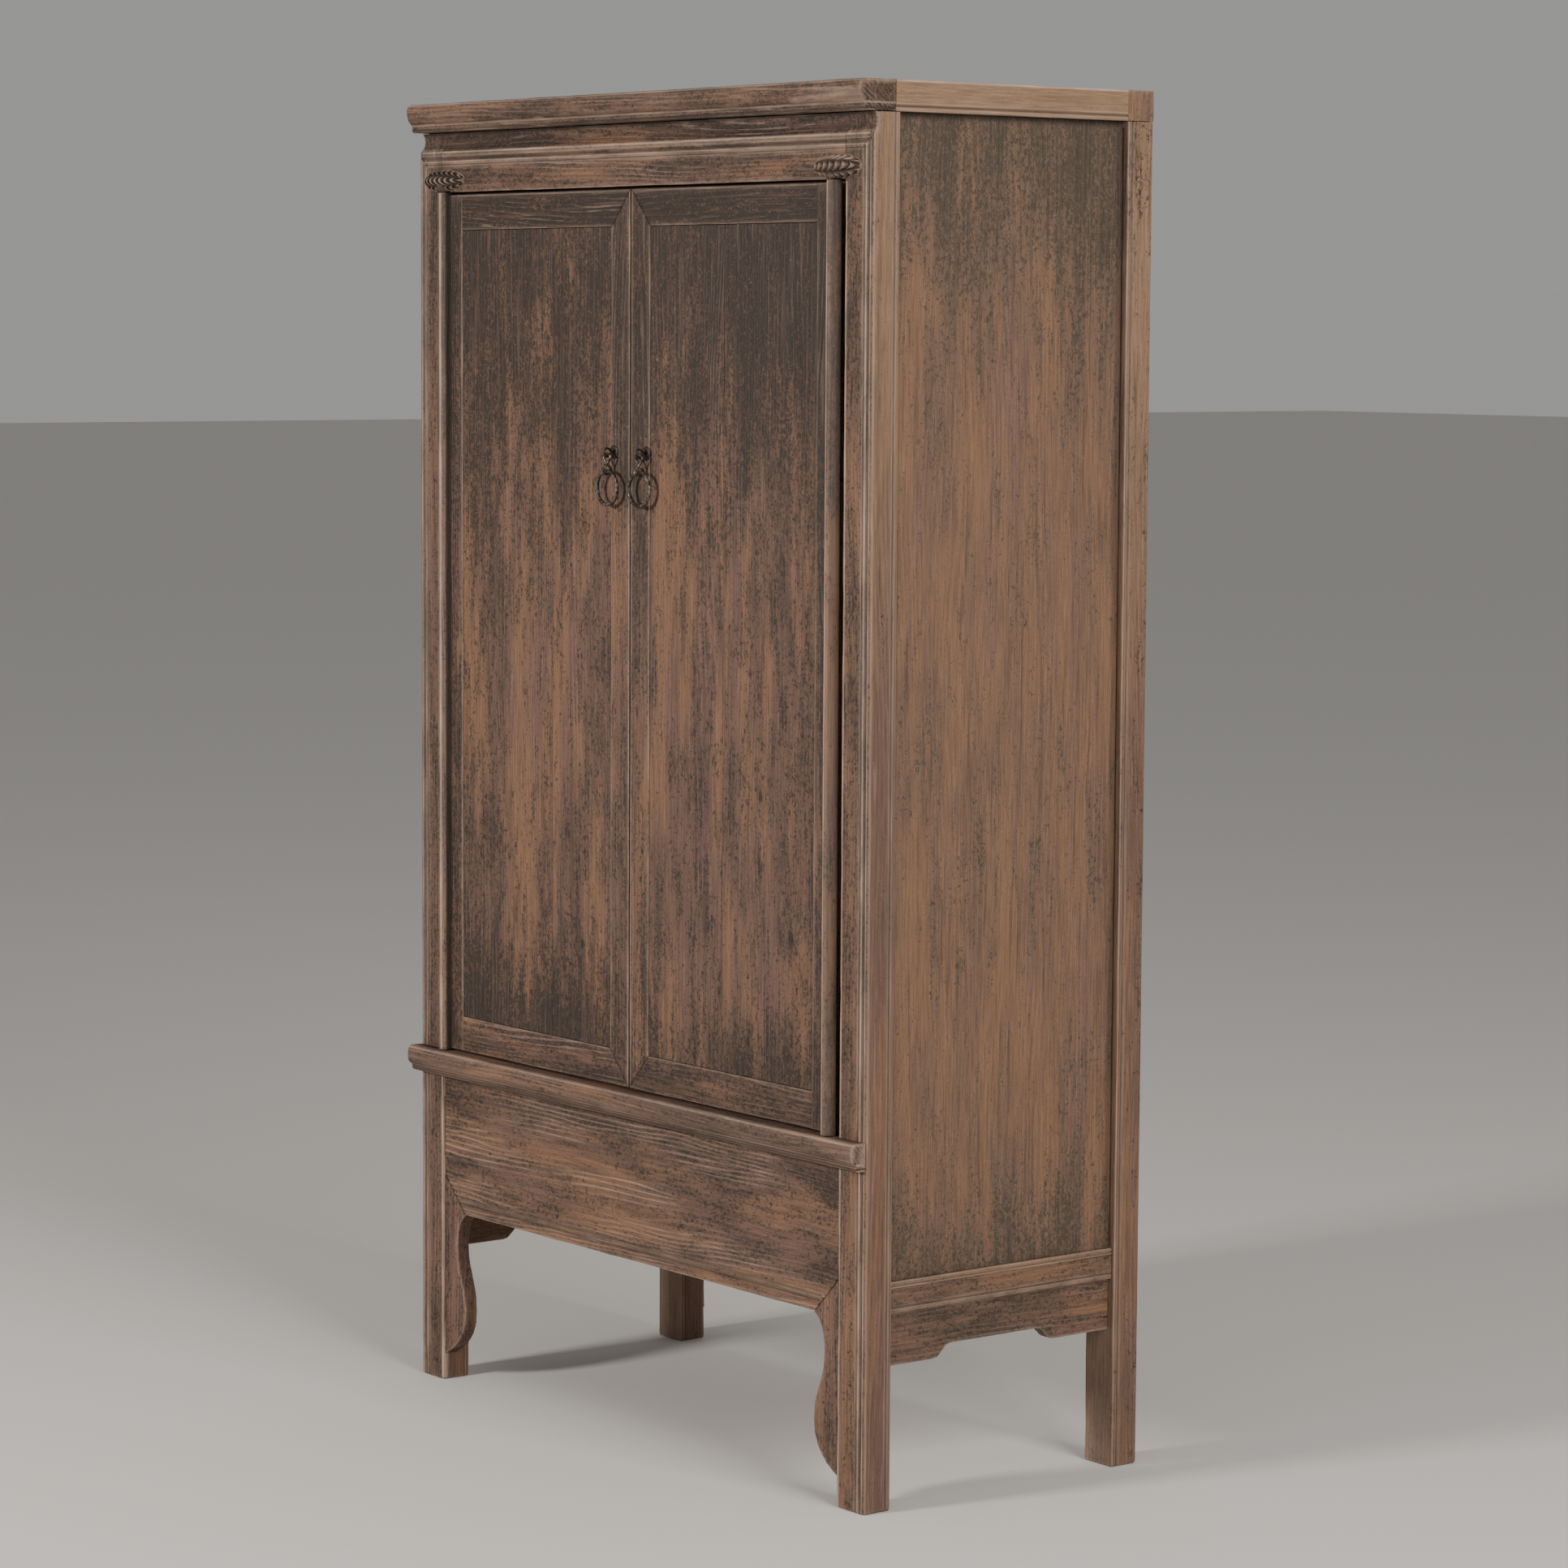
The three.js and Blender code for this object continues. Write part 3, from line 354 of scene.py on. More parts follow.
def iron(name, shine):
    """Forged iron, black in its hollows. shine is how far its high spots are rubbed bright."""
    s = Shader(name)
    place = s.add("ShaderNodeTexCoord", {}).outputs["Object"]
    scale = s.noise(place, 420, 5, 0.65)
    rust = s.noise(place, 150, 4, 0.6)
    colour = s.ramp(scale, (0.3, IRON_HOLLOW), (0.55, IRON_SKIN), (0.75, IRON_HIGH))
    colour = s.mix(s.step(rust, 0.50, 0.68, 0.0, 0.6), colour, RUST)
    rubbed = s.math("MULTIPLY", s.attribute("wear"), shine, clamp=True)
    colour = s.mix(rubbed, colour, IRON_RUBBED)
    s.put(s.surface.inputs["Base Color"], colour)
    s.surface.inputs["Metallic"].default_value = 0.6
    s.put(s.surface.inputs["Roughness"], s.step(scale, 0.3, 0.7, 0.30, 0.55))
    bump = s.add("ShaderNodeBump", {"Strength": 0.5, "Distance": 0.35 * MM, "Height": scale})
    s.put(s.surface.inputs["Normal"], bump.outputs[0])
    return s.material


# ---- Worn boards --------------------------------------------------------------------------------


def value_noise(points, seed):
    """Smooth noise between -1 and 1 at each point, the same for the same seed."""
    cell = np.floor(points).astype(np.int64)
    part = points - cell
    part = part * part * (3 - 2 * part)
    total = np.zeros(len(points))
    for corner in np.ndindex(2, 2, 2):
        x, y, z = (cell + np.array(corner)).T
        mixed = (x * 73856093) ^ (y * 19349663) ^ (z * 83492791) ^ (seed * 2654435761)
        mixed = (mixed ^ (mixed >> 13)) * 1274126177 & 0x7FFFFFFF
        mixed = (mixed ^ (mixed >> 16)) & 0xFFFF
        weight = np.prod(np.where(corner, part, 1 - part), axis=1)
        total += weight * (mixed / 32767.5 - 1)
    return total


def cut_positions(values, spacing, band):
    """Where to cut along one axis: close to each corner of the board's outline, and evenly in between."""
    corners = [values[0]]
    for value in values[1:]:
        if value - corners[-1] > 0.3 * MM:
            corners.append(value)
    cuts = []
    for low, high in zip(corners, corners[1:]):
        gap = high - low
        if gap > 2.5 * band:
            cuts += [low + band, high - band]
        if gap > 8 * band:
            cuts += [low + 3 * band, high - 3 * band]
            steps = max(1, round((gap - 6 * band) / spacing))
            cuts += list(np.linspace(low + 3 * band, high - 3 * band, steps + 1)[1:-1])
    return cuts


def cut_grid(mesh, grain, across, along, band):
    """Cuts the mesh's faces into a grid, finely across the grain and coarsely along it."""
    bmesh.ops.remove_doubles(mesh, verts=mesh.verts, dist=0.01 * MM)
    bmesh.ops.dissolve_limit(mesh, angle_limit=math.radians(0.5), verts=mesh.verts, edges=mesh.edges)
    places = np.array([v.co for v in mesh.verts])
    for axis in range(3):
        spacing = along if axis == "XYZ".index(grain) else across
        normal = Vector([float(i == axis) for i in range(3)])
        for value in cut_positions(np.unique(places[:, axis]), spacing, band):
            geometry = [*mesh.verts, *mesh.edges, *mesh.faces]
            at = normal * value
            bmesh.ops.bisect_plane(mesh, geom=geometry, dist=0.02 * MM, plane_co=at, plane_no=normal)
    bmesh.ops.remove_doubles(mesh, verts=mesh.verts, dist=0.03 * MM)
    mesh.normal_update()


def at_a_joint(node, places, wanted):
    """Which of the wanted points lie against another piece of the same body."""
    reach = 0.8 * MM
    low, high = (np.array(corner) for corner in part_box(node))
    touching = np.zeros(len(places), dtype=bool)
    for other, body in body_of.items():
        if other == node or body != body_of[node]:
            continue
        other_low, other_high = (np.array(corner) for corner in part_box(other))
        if (other_low > high + reach).any() or (other_high < low - reach).any():
            continue
        inside = ((places > other_low - reach) & (places < other_high + reach)).all(axis=1)
        for index in np.flatnonzero(inside & wanted & ~touching):
            touching[index] = tree_of[other].find_nearest(Vector(places[index]), reach)[0] is not None
    return touching


def curvature(places, normals, edges):
    """How far each point stands out from its neighbours: 1 on a square edge, -1 in a square corner."""
    first, second = edges.T
    way = places[second] - places[first]
    way /= np.maximum(np.linalg.norm(way, axis=1, keepdims=True), 1e-9)
    out = np.zeros(len(places))
    count = np.zeros(len(places))
    np.add.at(out, first, -np.einsum("ij,ij->i", normals[first], way))
    np.add.at(out, second, np.einsum("ij,ij->i", normals[second], way))
    np.add.at(count, first, 1)
    np.add.at(count, second, 1)
    return np.clip(out / np.maximum(count, 1) / SQUARE_EDGE, -1, 1)


def spread(values, places, edges, reach, rounds=4):
    """Carries each value to its neighbours, fading over the distance reach."""
    first, second = edges.T
    fade = np.exp(-np.linalg.norm(places[first] - places[second], axis=1) / reach)
    for _ in range(rounds):
        carried = values.copy()
        np.maximum.at(carried, first, values[second] * fade)
        np.maximum.at(carried, second, values[first] * fade)
        values = carried
    return values


def store(mesh, name, values):
    attribute = mesh.attributes.new(name, "FLOAT", "POINT")
    attribute.data.foreach_set("value", np.asarray(values, dtype=np.float32))


def mesh_arrays(mesh):
    places = np.zeros(len(mesh.vertices) * 3)
    mesh.vertices.foreach_get("co", places)
    normals = np.zeros(len(mesh.vertices) * 3)
    mesh.vertices.foreach_get("normal", normals)
    edges = np.zeros(len(mesh.edges) * 2, dtype=np.int64)
    mesh.edges.foreach_get("vertices", edges)
    return places.reshape(-1, 3), normals.reshape(-1, 3), edges.reshape(-1, 2)


def stand_for(piece, node):
    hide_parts(node)
    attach(piece, body_of[node])


def rounded(places, x, y, radius):
    """Moves the points on the flats of a faceted upright rod, at x or -x, out to its true circle."""
    away = np.stack([np.abs(places[:, 0]) - x, places[:, 1] - y], axis=1)
    reach = np.linalg.norm(away, axis=1)
    on_rod = (reach > 0.965 * radius) & (reach < 1.005 * radius) & (away[:, 0] > -0.86 * radius)
    away[on_rod] *= (radius / reach[on_rod])[:, None]
    side = np.where(places[:, 0] < 0, -1, 1)
    return np.stack([side * (x + away[:, 0]), y + away[:, 1], places[:, 2]], axis=1)


def grain_ridges(places, grain, seed):
    """Where the hard rings of the grain stand proud: 1 on a ridge, 0 between them."""
    axis = "XYZ".index(grain)
    stretch = np.ones(3)
    stretch[axis] = 1 / 7
    flowing = places * stretch
    across = places[:, (axis + 1) % 3] + places[:, (axis + 2) % 3]
    turns = across / RING_SPACING + 2.2 * value_noise(flowing / (60 * MM), seed)
    turns += 0.7 * value_noise(flowing / (15 * MM), seed + 1)
    patch = np.clip(0.45 + 1.9 * value_noise(flowing / (30 * MM), seed + 2), 0, 1)
    return np.clip((np.sin(2 * math.pi * turns) - 0.45) / 0.55, 0, 1) * patch


def worn_board(
    node, material, grain, across=5 * MM, along=30 * MM, relief=0.35 * MM, edge=0.8 * MM, ridge=0.0,
    turned=None,
):
    """Replaces a CAD board by one with softened, uneven edges and a surface that follows its grain.

    across and along are the sizes of its cells. relief, edge and ridge are how deep the surface, the
    worn edges and the furrows between the hard rings go. Points only move inwards, so the joints keep
    their gaps. turned is (x, y, radius) of an upright rod that is part of the board.
    """
    seed = sum(ord(letter) * (i + 1) for i, letter in enumerate(node)) % 9973
    work = bmesh.new()
    work.from_mesh(frame["nodes"][node].data)
    cut_grid(work, grain, across, along, 1.0 * MM)
    mesh = bpy.data.meshes.new(node + "_worn")
    work.to_mesh(mesh)
    work.free()
    places, normals, edges = mesh_arrays(mesh)
    if turned:
        places = rounded(places, *turned)
        mesh.vertices.foreach_set("co", places.ravel())
        mesh.update()
        places, normals, edges = mesh_arrays(mesh)
    bend = curvature(places, normals, edges)
    convex, hollow = np.clip(bend, 0, 1), np.clip(-bend, 0, 1)
    joint = at_a_joint(node, places, convex > 0.2)
    convex[joint] *= 0.3
    stretch = np.ones(3)
    stretch["XYZ".index(grain)] = 1 / 18
    grainwise = places * stretch
    waves = 0.5 + 0.5 * value_noise(grainwise / (14 * MM), seed)
    fine = 0.5 + 0.5 * value_noise(grainwise / (6 * MM), seed + 1)
    chips = np.clip(value_noise(places / (28 * MM), seed + 2) * 1.6, 0, 1)
    depth = relief * (0.65 * waves + 0.35 * fine)
    depth += convex * edge * (0.45 + 0.4 * waves + 0.9 * chips**2)
    wear = spread(np.where(joint, 0, convex), places, edges, 1.6 * MM)
    if ridge:
        crest = grain_ridges(places, grain, seed + 3)
        depth += ridge * (1 - crest)
        wear = np.maximum(wear, 0.8 * crest)
    mesh.vertices.foreach_set("co", (places - normals * depth[:, None]).ravel())
    store(mesh, "wear", wear)
    # Painted shade in concave corners and creases, spread a little, with a faint dark line along the
    # joints.
    store(mesh, "hollow_shade_and_joints", np.maximum(spread(hollow, places, edges, 2.2 * MM), 0.12 * joint))
    store(mesh, "board", np.full(len(places), (seed % 97) / 97))
    mesh.polygons.foreach_set("use_smooth", [True] * len(mesh.polygons))
    mesh.materials.append(material)
    mesh.update()
    piece = bpy.data.objects.new(node + "_worn", mesh)
    bpy.context.collection.objects.link(piece)
    stand_for(piece, node)


def soften(node, material, width=1.0 * MM):
    """Keeps a CAD piece and rounds its edges."""
    piece = frame["nodes"][node]
    piece.data.materials.clear()
    piece.data.materials.append(material)
    weld = piece.modifiers.new("weld", "WELD")
    weld.merge_threshold = 0.01 * MM
    bevel = piece.modifiers.new("bevel", "BEVEL")
    bevel.width = width
    bevel.segments = 2
    bevel.limit_method = "ANGLE"
    bevel.angle_limit = math.radians(40)


# ---- Swept and gridded pieces -------------------------------------------------------------------


def grid_mesh(name, rows, closed_rows, closed_columns):
    """A mesh over an array of points: rows x columns x 3. An open row direction gets a cap at each end."""
    count, width, _ = rows.shape
    faces = []
    for i in range(count if closed_rows else count - 1):
        for j in range(width if closed_columns else width - 1):
            k, m = (i + 1) % count, (j + 1) % width
            faces.append((i * width + j, i * width + m, k * width + m, k * width + j))
    if not closed_rows:
        faces.append(tuple(range(width - 1, -1, -1)))
        faces.append(tuple((count - 1) * width + j for j in range(width)))
    mesh = bpy.data.meshes.new(name)
    mesh.from_pydata(rows.reshape(-1, 3).tolist(), [], faces)
    work = bmesh.new()
    work.from_mesh(mesh)
    bmesh.ops.recalc_face_normals(work, faces=work.faces)
    work.to_mesh(mesh)
    work.free()
    mesh.polygons.foreach_set("use_smooth", [True] * len(mesh.polygons))
    return mesh


def tube_rows(path, radii, sides, closed):
    """Rings of points round a path, turned as little as possible from one to the next."""
    ahead = np.roll(path, -1, axis=0) - np.roll(path, 1, axis=0)
    if not closed:
        ahead[0], ahead[-1] = path[1] - path[0], path[-1] - path[-2]
    ahead /= np.linalg.norm(ahead, axis=1, keepdims=True)
    side = np.cross(ahead[0], (0.31, 0.52, 0.79))
    sides_out = []
    for direction in ahead:
        side = side - direction * np.dot(side, direction)
        side = side / np.linalg.norm(side)
        sides_out.append(side)
    sides_out = np.array(sides_out)
    ups = np.cross(ahead, sides_out)
    turn = np.zeros(len(path))
    if closed:
        last = sides_out[-1] - ahead[0] * np.dot(sides_out[-1], ahead[0])
        slip = math.atan2(np.dot(last, ups[0]), np.dot(last, sides_out[0]))
        turn = -slip * np.arange(len(path)) / len(path)
    angles = 2 * math.pi * np.arange(sides) / sides
    angles = angles[None, :] + turn[:, None]
    ring = np.cos(angles)[..., None] * sides_out[:, None] + np.sin(angles)[..., None] * ups[:, None]
    return path[:, None] + ring * np.asarray(radii)[:, None, None]


def forged(name, node, mesh, seed, dents=0.18 * MM, finish="iron"):
    """Finishes an iron piece: light hammer dents, worn high spots, and the CAD node it stands for."""
    places, normals, _ = mesh_arrays(mesh)
    dent = 0.5 + 0.5 * value_noise(places / (3.2 * MM), seed)
    mesh.vertices.foreach_set("co", (places - normals * (dents * dent)[:, None]).ravel())
    store(mesh, "wear", np.clip(1.5 * (0.55 - dent), 0, 1))
    mesh.materials.append(materials[finish])
    piece = bpy.data.objects.new(name, mesh)
    bpy.context.collection.objects.link(piece)
    stand_for(piece, node)


# ---- Pieces -------------------------------------------------------------------------------------


def twisted_link(side):
    """The long wire loop drawn in to a waist, with its lower half turned square to the upper."""
    low, high = (np.array(c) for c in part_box(f"pull_link_{side}"))
    wire = 1.9 * MM
    centre = (low + high) / 2
    top, length = high[2] - wire, high[2] - low[2] - 2 * wire
    width = (high[0] - low[0]) / 2 - wire
    waist = 2.2 * MM
    turn = np.linspace(0, 2 * math.pi, 180, endpoint=False)
    down = (1 - np.cos(turn)) / 2
    out = np.sin(turn) * np.hypot(2 * width * np.cos(turn), waist)
    blend = np.clip((down - 0.34) / 0.32, 0, 1)
    twist = -math.pi / 2 * blend * blend * (3 - 2 * blend)
    x, y = centre[0] + out * np.cos(twist), centre[1] + out * np.sin(twist)
    path = np.stack([x, y, top - length * down], axis=1)
    rows = tube_rows(path, np.full(len(path), wire), 14, True)
    mesh = grid_mesh(f"pull_link_{side}_forged", rows, True, True)
    forged(f"pull_link_{side}_forged", f"pull_link_{side}", mesh, 11)


def forged_ring(side):
    """A hammered ring, thinner where it hangs in the link than at the bottom."""
    low, high = (np.array(c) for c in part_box(f"pull_ring_{side}"))
    centre = (low + high) / 2
    wire = (high[1] - low[1]) / 2
    radius = (high[0] - low[0]) / 2 - wire
    turn = np.linspace(0, 2 * math.pi, 128, endpoint=False)
    path = centre + radius * np.stack([np.sin(turn), 0 * turn, np.cos(turn)], axis=1)
    thickness = wire * (1.06 - 0.09 * np.cos(turn))
    rows = tube_rows(path, thickness, 16, True)
    mesh = grid_mesh(f"pull_ring_{side}_forged", rows, True, True)
    forged(f"pull_ring_{side}_forged", f"pull_ring_{side}", mesh, 23)


def split_pin(side):
    """One wire folded in two: an eye in front, both halves through the stile, the ends bent over inside."""
    low, high = (np.array(c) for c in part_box(f"pull_cotter_{side}"))
    x, height = (low[0] + high[0]) / 2, (low[2] + high[2]) / 2
    eye_wire, eye_radius = 1.6 * MM, 5.8 * MM
    half_wire = 1.05 * MM
    eye_y = low[1] + eye_radius + eye_wire
    back = high[1] - half_wire
    reach = (high[2] - low[2]) / 2 - half_wire
    neck = math.radians(24)

    def leg(sign, steps=(1.0, 0.6, 0.25, 0.08)):
        return [((x, back, height + sign * reach * k), half_wire) for k in steps]

    def shank(sign):
        stretch = np.linspace(back - half_wire, eye_y + eye_radius + 2 * MM, 8)
        return [((x, y, height + sign * half_wire), half_wire) for y in stretch]

    upper = leg(1) + shank(1)
    eye = []
    for angle in np.linspace(neck, 2 * math.pi - neck, 40):
        y, z = eye_y + eye_radius * math.cos(angle), height + eye_radius * math.sin(angle)
        eye.append(((x, y, z), eye_wire))
    lower = (leg(-1) + shank(-1))[::-1]
    points, radii = zip(*(upper + eye + lower))
    rows = tube_rows(np.array(points), radii, 12, False)
    mesh = grid_mesh(f"pull_cotter_{side}_forged", rows, False, True)
    forged(f"pull_cotter_{side}_forged", f"pull_cotter_{side}", mesh, 31, 0.1 * MM, "black_iron_and_shade")


def rosette(side):
    """A thin domed plate with a scalloped rim round the split pin."""
    low, high = (np.array(c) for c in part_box(f"pull_rosette_{side}"))
    centre = (low + high) / 2
    outer, hole = 0.6 * (high[0] - low[0]), 2.8 * MM
    petals, sides = 8, 96
    turn = np.linspace(0, 2 * math.pi, sides, endpoint=False)
    rim = outer * (0.93 + 0.07 * np.abs(np.cos(petals * turn / 2)))
    profile = [(0.0, 1.0), (0.0, 0.45), (0.35, 0.1), (0.75, 0.25), (1.0, 0.75), (1.0, 1.0)]
    rows = []
    for share, depth in profile:
        radius = hole + (rim - hole) * share
        x, z = centre[0] + radius * np.sin(turn), centre[2] + radius * np.cos(turn)
        y = np.full(sides, low[1] + (high[1] - low[1]) * depth)
        rows.append(np.stack([x, y, z], axis=1))
    mesh = grid_mesh(f"pull_rosette_{side}_forged", np.array(rows), True, True)
    forged(f"pull_rosette_{side}_forged", f"pull_rosette_{side}", mesh, 47, 0.08 * MM, "black_iron_and_shade")


def carved_socket(side):
    """The oval pivot block, carved with rows of overlapping scales that point outwards, and the collar
    under it that the door's rod turns against."""
    node = f"pivot_socket_{side}"
    low, high = (np.array(c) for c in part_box(node))
    sign = 1 if side == "right" else -1
    post_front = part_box("post_front_right")[0][1]
    half = np.array([(high[0] - low[0]) / 2, post_front - low[1], 16.5 * MM])
    centre = np.array([(low[0] + high[0]) / 2, post_front, high[2] + 1 * MM - half[2]])
    columns, rounds, lanes = 260, 120, 3
    rows, heights = [], []
    for i in range(1, columns):
        u = -1 + 2 * i / columns
        end = (1 - abs(u) ** 2.5) ** 0.5
        angle = np.linspace(-math.pi / 2, math.pi / 2, rounds)
        lane = lanes * angle / math.pi
        lane_middle = np.floor(lane + 0.5)
        off = 2 * (lane - lane_middle)
        phase = 4.0 * u + 0.5 * (lane_middle % 2) + 0.8 * off**2 - 0.3 * off
        scale = phase - np.floor(phase)
        dome = np.clip(1.08 - off**2, 0, 1) ** 0.5
        height = np.clip(1 - scale, 0, 1) ** 0.8 * np.clip(scale / 0.12, 0, 1) ** 0.5 * dome
        rim = np.clip((math.pi / 2 - np.abs(angle)) / 0.2, 0, 1) * min(1.0, (1 - abs(u)) / 0.04)
        carve = 5.5 * MM * (1 - height) * rim * min(1.0, 1.3 * end)
        depth = np.maximum(half[1] * end - carve, 0)
        tall = np.maximum(half[2] * end - 0.45 * carve, 0)
        heights.append(np.where(rim < 1, 0.8, height))
        rows.append(np.stack([
            np.full(rounds, centre[0] + sign * half[0] * u),
            centre[1] - depth * np.cos(angle),
            centre[2] + tall * np.sin(angle),
        ], axis=1))
    mesh = grid_mesh(node + "_carved", np.array(rows), False, True)
    heights = np.array(heights).ravel()
    store(mesh, "wear", np.clip(1.7 * (heights - 0.5), 0, 1))
    # Painted shade in the carved grooves between the scales; the high spots are worn pale.
    store(mesh, "hollow_shade_and_joints", np.clip(2.2 * (0.5 - heights), 0, 1))
    finish_wood(mesh, node + "_carved", node, "socket")
    rod_x, rod_y, radius = ROD
    turn = np.linspace(0, 2 * math.pi, 48, endpoint=False)
    profile = [(0.62, 12), (0.60, 0.3), (1.0, 0.3), (1.06, 0.9), (1.06, 12)]
    rows = [
        np.stack([
            sign * rod_x + radius * share * np.cos(turn),
            rod_y + radius * share * np.sin(turn),
            np.full(len(turn), low[2] + rise * MM),
        ], axis=1)
        for share, rise in profile
    ]
    collar = grid_mesh(node + "_collar", np.array(rows), True, True)
    store(collar, "wear", np.zeros(len(collar.vertices)))
    store(collar, "hollow_shade_and_joints", np.zeros(len(collar.vertices)))
    finish_wood(collar, node + "_collar", node, "socket")


def finish_wood(mesh, name, node, finish):
    store(mesh, "board", np.full(len(mesh.vertices), 0.4))
    mesh.materials.append(materials[finish])
    piece = bpy.data.objects.new(name, mesh)
    bpy.context.collection.objects.link(piece)
    stand_for(piece, node)


# ---- Finishes -----------------------------------------------------------------------------------

# In all bead lists, here and in the table below, pale lines along moulding edges are worn and partly
# painted highlights, and dark lines in grooves, under lips and under the crown are painted shadow.
POST_TOP_BEADS = [
    ("level bead", 1.8295, 2.2 * MM, 0.85),
    ("level bead", 1.8240, 1.6 * MM, 0.5),
    ("level bead", 1.8160, 1.9 * MM, 0.8),
    ("level bead", 1.8200, 2.2 * MM, -0.6),
    ("level bead", 1.8112, 1.2 * MM, -0.5),
    ("level bead", 1.8560, 3.0 * MM, -0.6),
]
POST_BEADS = POST_TOP_BEADS + [
    ("upright bead", 0.5265, 1.8 * MM, 0.8),
    ("upright bead", 0.5180, 1.8 * MM, 0.9),
    ("upright bead", 0.5220, 2.4 * MM, -0.7),
    ("upright bead", 0.5132, 1.4 * MM, -0.6),
    ("inner bead", 0.4766, 2.6 * MM, 0.85),
    ("Y", -0.1925, 1.3 * MM, 0.55),
    ("Y", -0.1870, 1.3 * MM, 0.6),
    ("Y", -0.1945, 1.4 * MM, -0.5),
    ("Y", -0.2290, 2.0 * MM, 0.35),
]
BACK_POST_BEADS = [
    ("Y", 0.2185, 1.3 * MM, 0.5),
    ("Y", 0.2130, 1.3 * MM, 0.6),
    ("Y", 0.2205, 1.4 * MM, -0.5),
]
SIDE_PANEL_SHADE = [
    ("Y", -0.186, 14 * MM, -0.4),
    ("Y", 0.212, 14 * MM, -0.4),
    ("Z", 1.858, 12 * MM, -0.6),
]
DOOR_BEADS = [("mirrored", 0.0455, 1.2 * MM, 0.3), ("mirrored", 0.4185, 1.2 * MM, 0.3)]
DOOR_RAIL_BEADS = [
    ("Z", 0.5575, 1.2 * MM, 0.3),
    ("Z", 1.7165, 1.2 * MM, 0.3),
    ("Z", 1.765, 1.6 * MM, 0.3),
]
# On the rod: a painted highlight line down its near side, a painted shadow line where it meets the flat,
# and a wide band of painted shade on its far side.
ROD_BEADS = DOOR_BEADS + [
    ("mirrored", 0.4555, 2.8 * MM, 0.85),
    ("mirrored", 0.4482, 1.8 * MM, -0.8),
    ("mirrored", 0.4665, 6.0 * MM, -0.45),
    ("mirrored", 0.0030, 1.6 * MM, 0.4),
]
STILE_FADES = [
    ("Z", 1.2, 1.72, 2.4),
    ("Z", 0.76, 0.54, 1.2),
    ("mirrored", 0.40, 0.44, 0.8),
    ("mirrored", 0.446, 0.450, -1.5),
]
DOOR_FADES = {
    "right": [("Z", 1.15, 1.72, 2.7), ("Z", 0.70, 0.54, 1.8), ("X", 0.30, 0.42, 0.7)],
    "left": [("Z", 1.05, 1.72, 2.4), ("Z", 0.76, 0.54, 2.5), ("X", -0.28, -0.42, 0.6)],
}

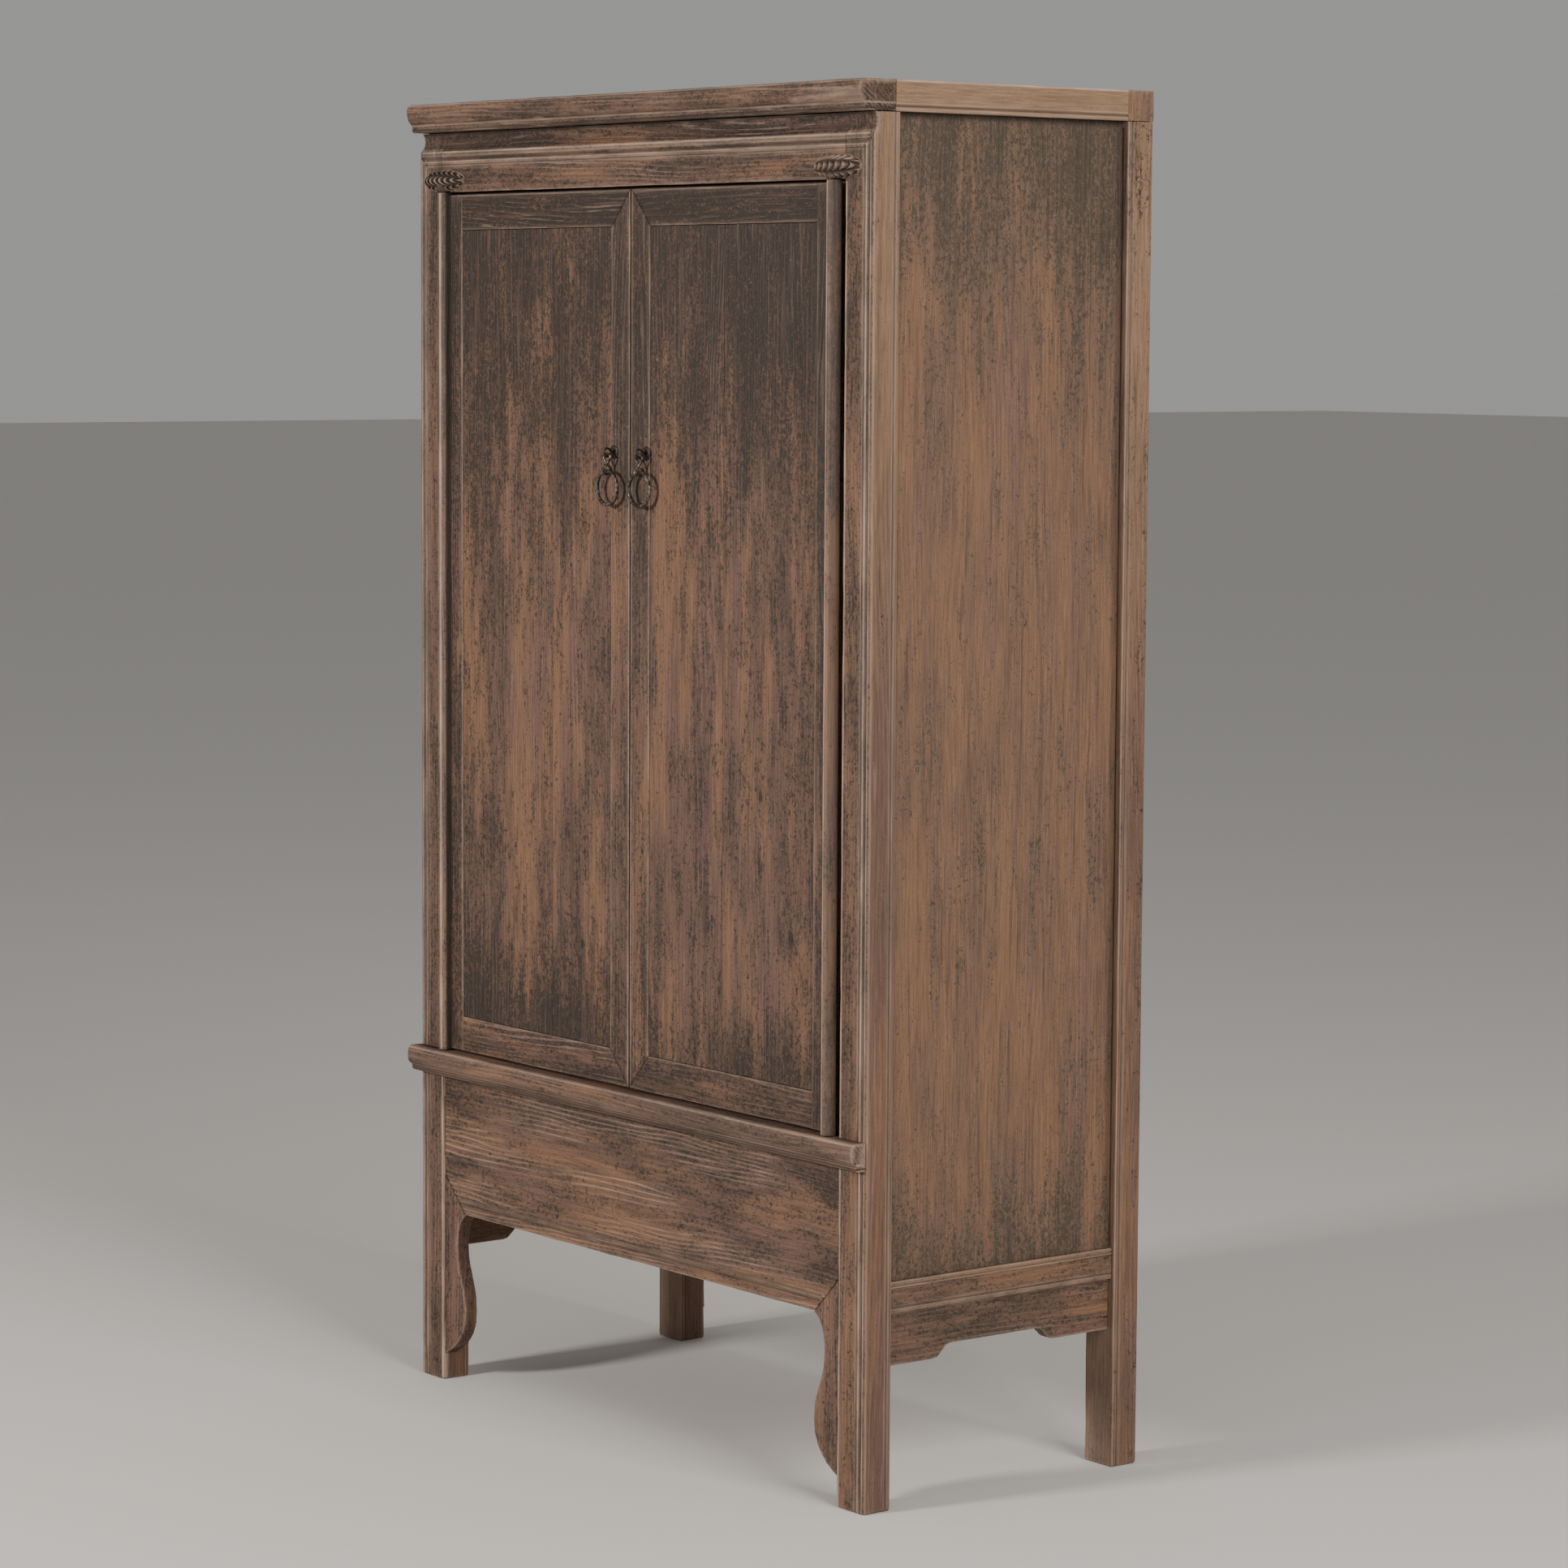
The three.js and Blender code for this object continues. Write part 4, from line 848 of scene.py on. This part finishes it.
materials = {
    "iron": iron("forged_iron", 1.0),
    # Near-black, barely rubbed iron for the split pins and rosettes, kept this dark partly as painted shade
    # round the pin hole.
    "black_iron_and_shade": iron("black_iron_and_shade", 0.15),
    "front_post": wood(
        "front_post_wood", "Z", 0.3, 0.05, fades=[("Z", 1.4, 1.8, 1.1)], tans=[("Z", 0.9, 1.75, 0.75)],
        beads=POST_BEADS, lines=0.15, figure=0.3, bare_sides=2.8,
    ),
    "back_post": wood(
        "back_post_wood", "Z", -1.1, 0.15, fades=[("Z", 1.4, 1.85, 0.7)], tans=[("Z", 0.9, 1.75, 0.8)],
        beads=BACK_POST_BEADS, lines=0.15, figure=0.3,
    ),
    "crown_front": wood(
        "crown_front_wood", "X", 0.6, fades=[("X", -0.1, 0.45, 0.8)], lines=0.25, wear=0.5, figure=0.8,
        beads=[("Z", 1.8975, 2.2 * MM, 0.5), ("Z", 1.8690, 2.0 * MM, 0.7), ("Z", 1.8620, 3.0 * MM, -0.6)],
    ),
    "crown_side": wood(
        "crown_side_wood", "Y", -2.3, 1.0, lines=0.1, figure=0.2,
        beads=[
            ("Z", 1.8985, 2.5 * MM, 1.0),
            ("Z", 1.8685, 1.4 * MM, 0.6),
            ("Z", 1.8620, 1.4 * MM, 0.6),
            ("Z", 1.8650, 1.8 * MM, -0.6),
        ],
    ),
    "frieze": wood(
        "frieze_wood", "X", 0.3, fades=[("Z", 1.815, 1.84, 0.8)], beads=POST_TOP_BEADS, lines=0.3,
        figure=0.6,
    ),
    "socket": wood("socket_wood", "X", 1.3, lines=0.0, wear=1.0, figure=0.0),
    "sill": wood(
        "sill_wood", "X", -0.1, lines=0.3, figure=0.6,
        beads=[("Z", 0.4750, 2.0 * MM, 0.9), ("Z", 0.4695, 2.4 * MM, -0.75), ("Z", 0.5015, 2.2 * MM, 0.5)],
    ),
    "apron": wood(
        "apron_wood", "X", 0.0, 0.05, fades=[("mirrored", 0.36, 0.47, 0.9), ("Z", 0.40, 0.46, 0.6)],
        beads=[("Z", 0.2815, 1.4 * MM, 0.5), ("Z", 0.2785, 1.4 * MM, -0.4)], lines=0.1, wear=0.6,
        figure=0.3,
    ),
    "bracket": wood(
        "bracket_wood", "Z", -0.1, 0.1, fades=[("mirrored", 0.44, 0.475, 0.8)], lines=0.15, wear=0.5,
        figure=0.3,
    ),
    "side_panel": wood(
        "side_panel_wood", "Z", -0.95, 0.26, fades=[("Z", 1.38, 1.84, 2.4), ("Z", 0.50, 0.30, 1.9)],
        beads=SIDE_PANEL_SHADE, haze=1.0, lines=0.08, wear=0.3, figure=0.2,
    ),
    "side_rail": wood(
        "side_rail_wood", "Y", 0.35, 0.15, haze=0.4, lines=0.15, figure=0.3,
        beads=[
            ("Z", 0.3085, 1.4 * MM, 0.6),
            ("Z", 0.3020, 1.4 * MM, 0.7),
            ("Z", 0.2740, 1.4 * MM, -0.5),
            ("Z", 0.2715, 1.2 * MM, 0.4),
            ("Z", 0.2640, 1.4 * MM, 0.5),
        ],
    ),
    "door_board_right": wood(
        "door_board_right_wood", "Z", -0.25, fades=DOOR_FADES["right"], beads=DOOR_BEADS, lines=0.10,
        wear=0.3, figure=0.28, knots=[(0.368, 0.758, 8 * MM), (0.300, 0.945, 5 * MM)],
    ),
    "door_board_left": wood(
        "door_board_left_wood", "Z", -0.15, fades=DOOR_FADES["left"], beads=DOOR_BEADS, lines=0.10,
        wear=0.3, figure=0.28, knots=[(-0.115, 0.70, 5 * MM)],
    ),
    "door_stile": wood(
        "door_stile_wood", "Z", 0.2, fades=STILE_FADES, beads=ROD_BEADS, lines=0.15, wear=0.5, figure=0.3,
    ),
    "door_rail": wood(
        "door_rail_wood", "X", 0.8, fades=[("Z", 1.2, 1.7, 2.0)], beads=DOOR_RAIL_BEADS, lines=0.22,
        wear=0.4, figure=0.5,
    ),
    "back": wood("back_wood", "Z", -1.2, 0.3),
    "inside_x": wood("inside_wood_x", "X", -2.0, 0.4),
    "inside_y": wood("inside_wood_y", "Y", -2.0, 0.4),
}


# ---- Assembly -----------------------------------------------------------------------------------

add_camera()
add_studio()

for side in SIDES:
    stile, rail, board = materials["door_stile"], materials["door_rail"], materials[f"door_board_{side}"]
    worn_board(f"post_front_{side}", materials["front_post"], "Z", 4 * MM, 24 * MM)
    worn_board(f"post_back_{side}", materials["back_post"], "Z", 6 * MM, 30 * MM)
    worn_board(f"crown_rail_side_{side}", materials["crown_side"], "Y", 5 * MM, 24 * MM)
    worn_board(f"side_panel_{side}", materials["side_panel"], "Z", 6 * MM, 40 * MM, edge=0.4 * MM)
    worn_board(f"side_rail_{side}", materials["side_rail"], "Y", 4 * MM, 24 * MM)
    worn_board(f"side_apron_{side}", materials["side_rail"], "Y", 5 * MM, 16 * MM)
    worn_board(f"leg_bracket_{side}", materials["bracket"], "Z", 4 * MM, 14 * MM)
    worn_board(f"door_pivot_stile_{side}", stile, "Z", 1.7 * MM, 26 * MM, edge=0.5 * MM, turned=ROD)
    worn_board(f"door_meeting_stile_{side}", stile, "Z", 5 * MM, 26 * MM, edge=0.5 * MM)
    worn_board(f"door_top_rail_{side}", rail, "X", 5 * MM, 20 * MM, edge=0.5 * MM)
    worn_board(f"door_bottom_rail_{side}", rail, "X", 5 * MM, 20 * MM, edge=0.5 * MM)
    worn_board(f"door_inner_board_{side}", board, "Z", 5 * MM, 36 * MM, edge=0.4 * MM)
    worn_board(f"door_outer_board_{side}", board, "Z", 5 * MM, 36 * MM, edge=0.4 * MM)
    carved_socket(side)
    twisted_link(side)
    forged_ring(side)
    split_pin(side)
    rosette(side)
    soften(f"door_batten_{side}", materials["inside_x"])
    soften(f"floor_bearer_{side}", materials["inside_y"])
    for shelf in (1, 2):
        soften(f"shelf_bearer_{shelf}_{side}", materials["inside_y"])

worn_board("crown_rail_front", materials["crown_front"], "X", 2 * MM, 16 * MM, 0.4 * MM, 1.2 * MM, 0.5 * MM)
worn_board("crown_rail_back", materials["back"], "X", 6 * MM, 40 * MM)
worn_board("frieze_rail", materials["frieze"], "X", 4 * MM, 26 * MM, edge=0.7 * MM)
worn_board("sill", materials["sill"], "X", 4 * MM, 22 * MM, 0.5 * MM, 1.1 * MM)
worn_board("front_apron", materials["apron"], "X", 1.3 * MM, 12 * MM, 0.3 * MM, 0.5 * MM, 0.8 * MM)
worn_board("back_rail", materials["side_rail"], "X", 8 * MM, 40 * MM)
for number in (1, 2, 3):
    worn_board(f"back_board_{number}", materials["back"], "Z", 10 * MM, 60 * MM)
for place in ("front", "back"):
    worn_board(f"top_board_{place}", materials["inside_x"], "X", 10 * MM, 60 * MM)
for node in ("base_board", "floor_board", "compartment_lid", "shelf_1", "shelf_2"):
    soften(node, materials["inside_x"])
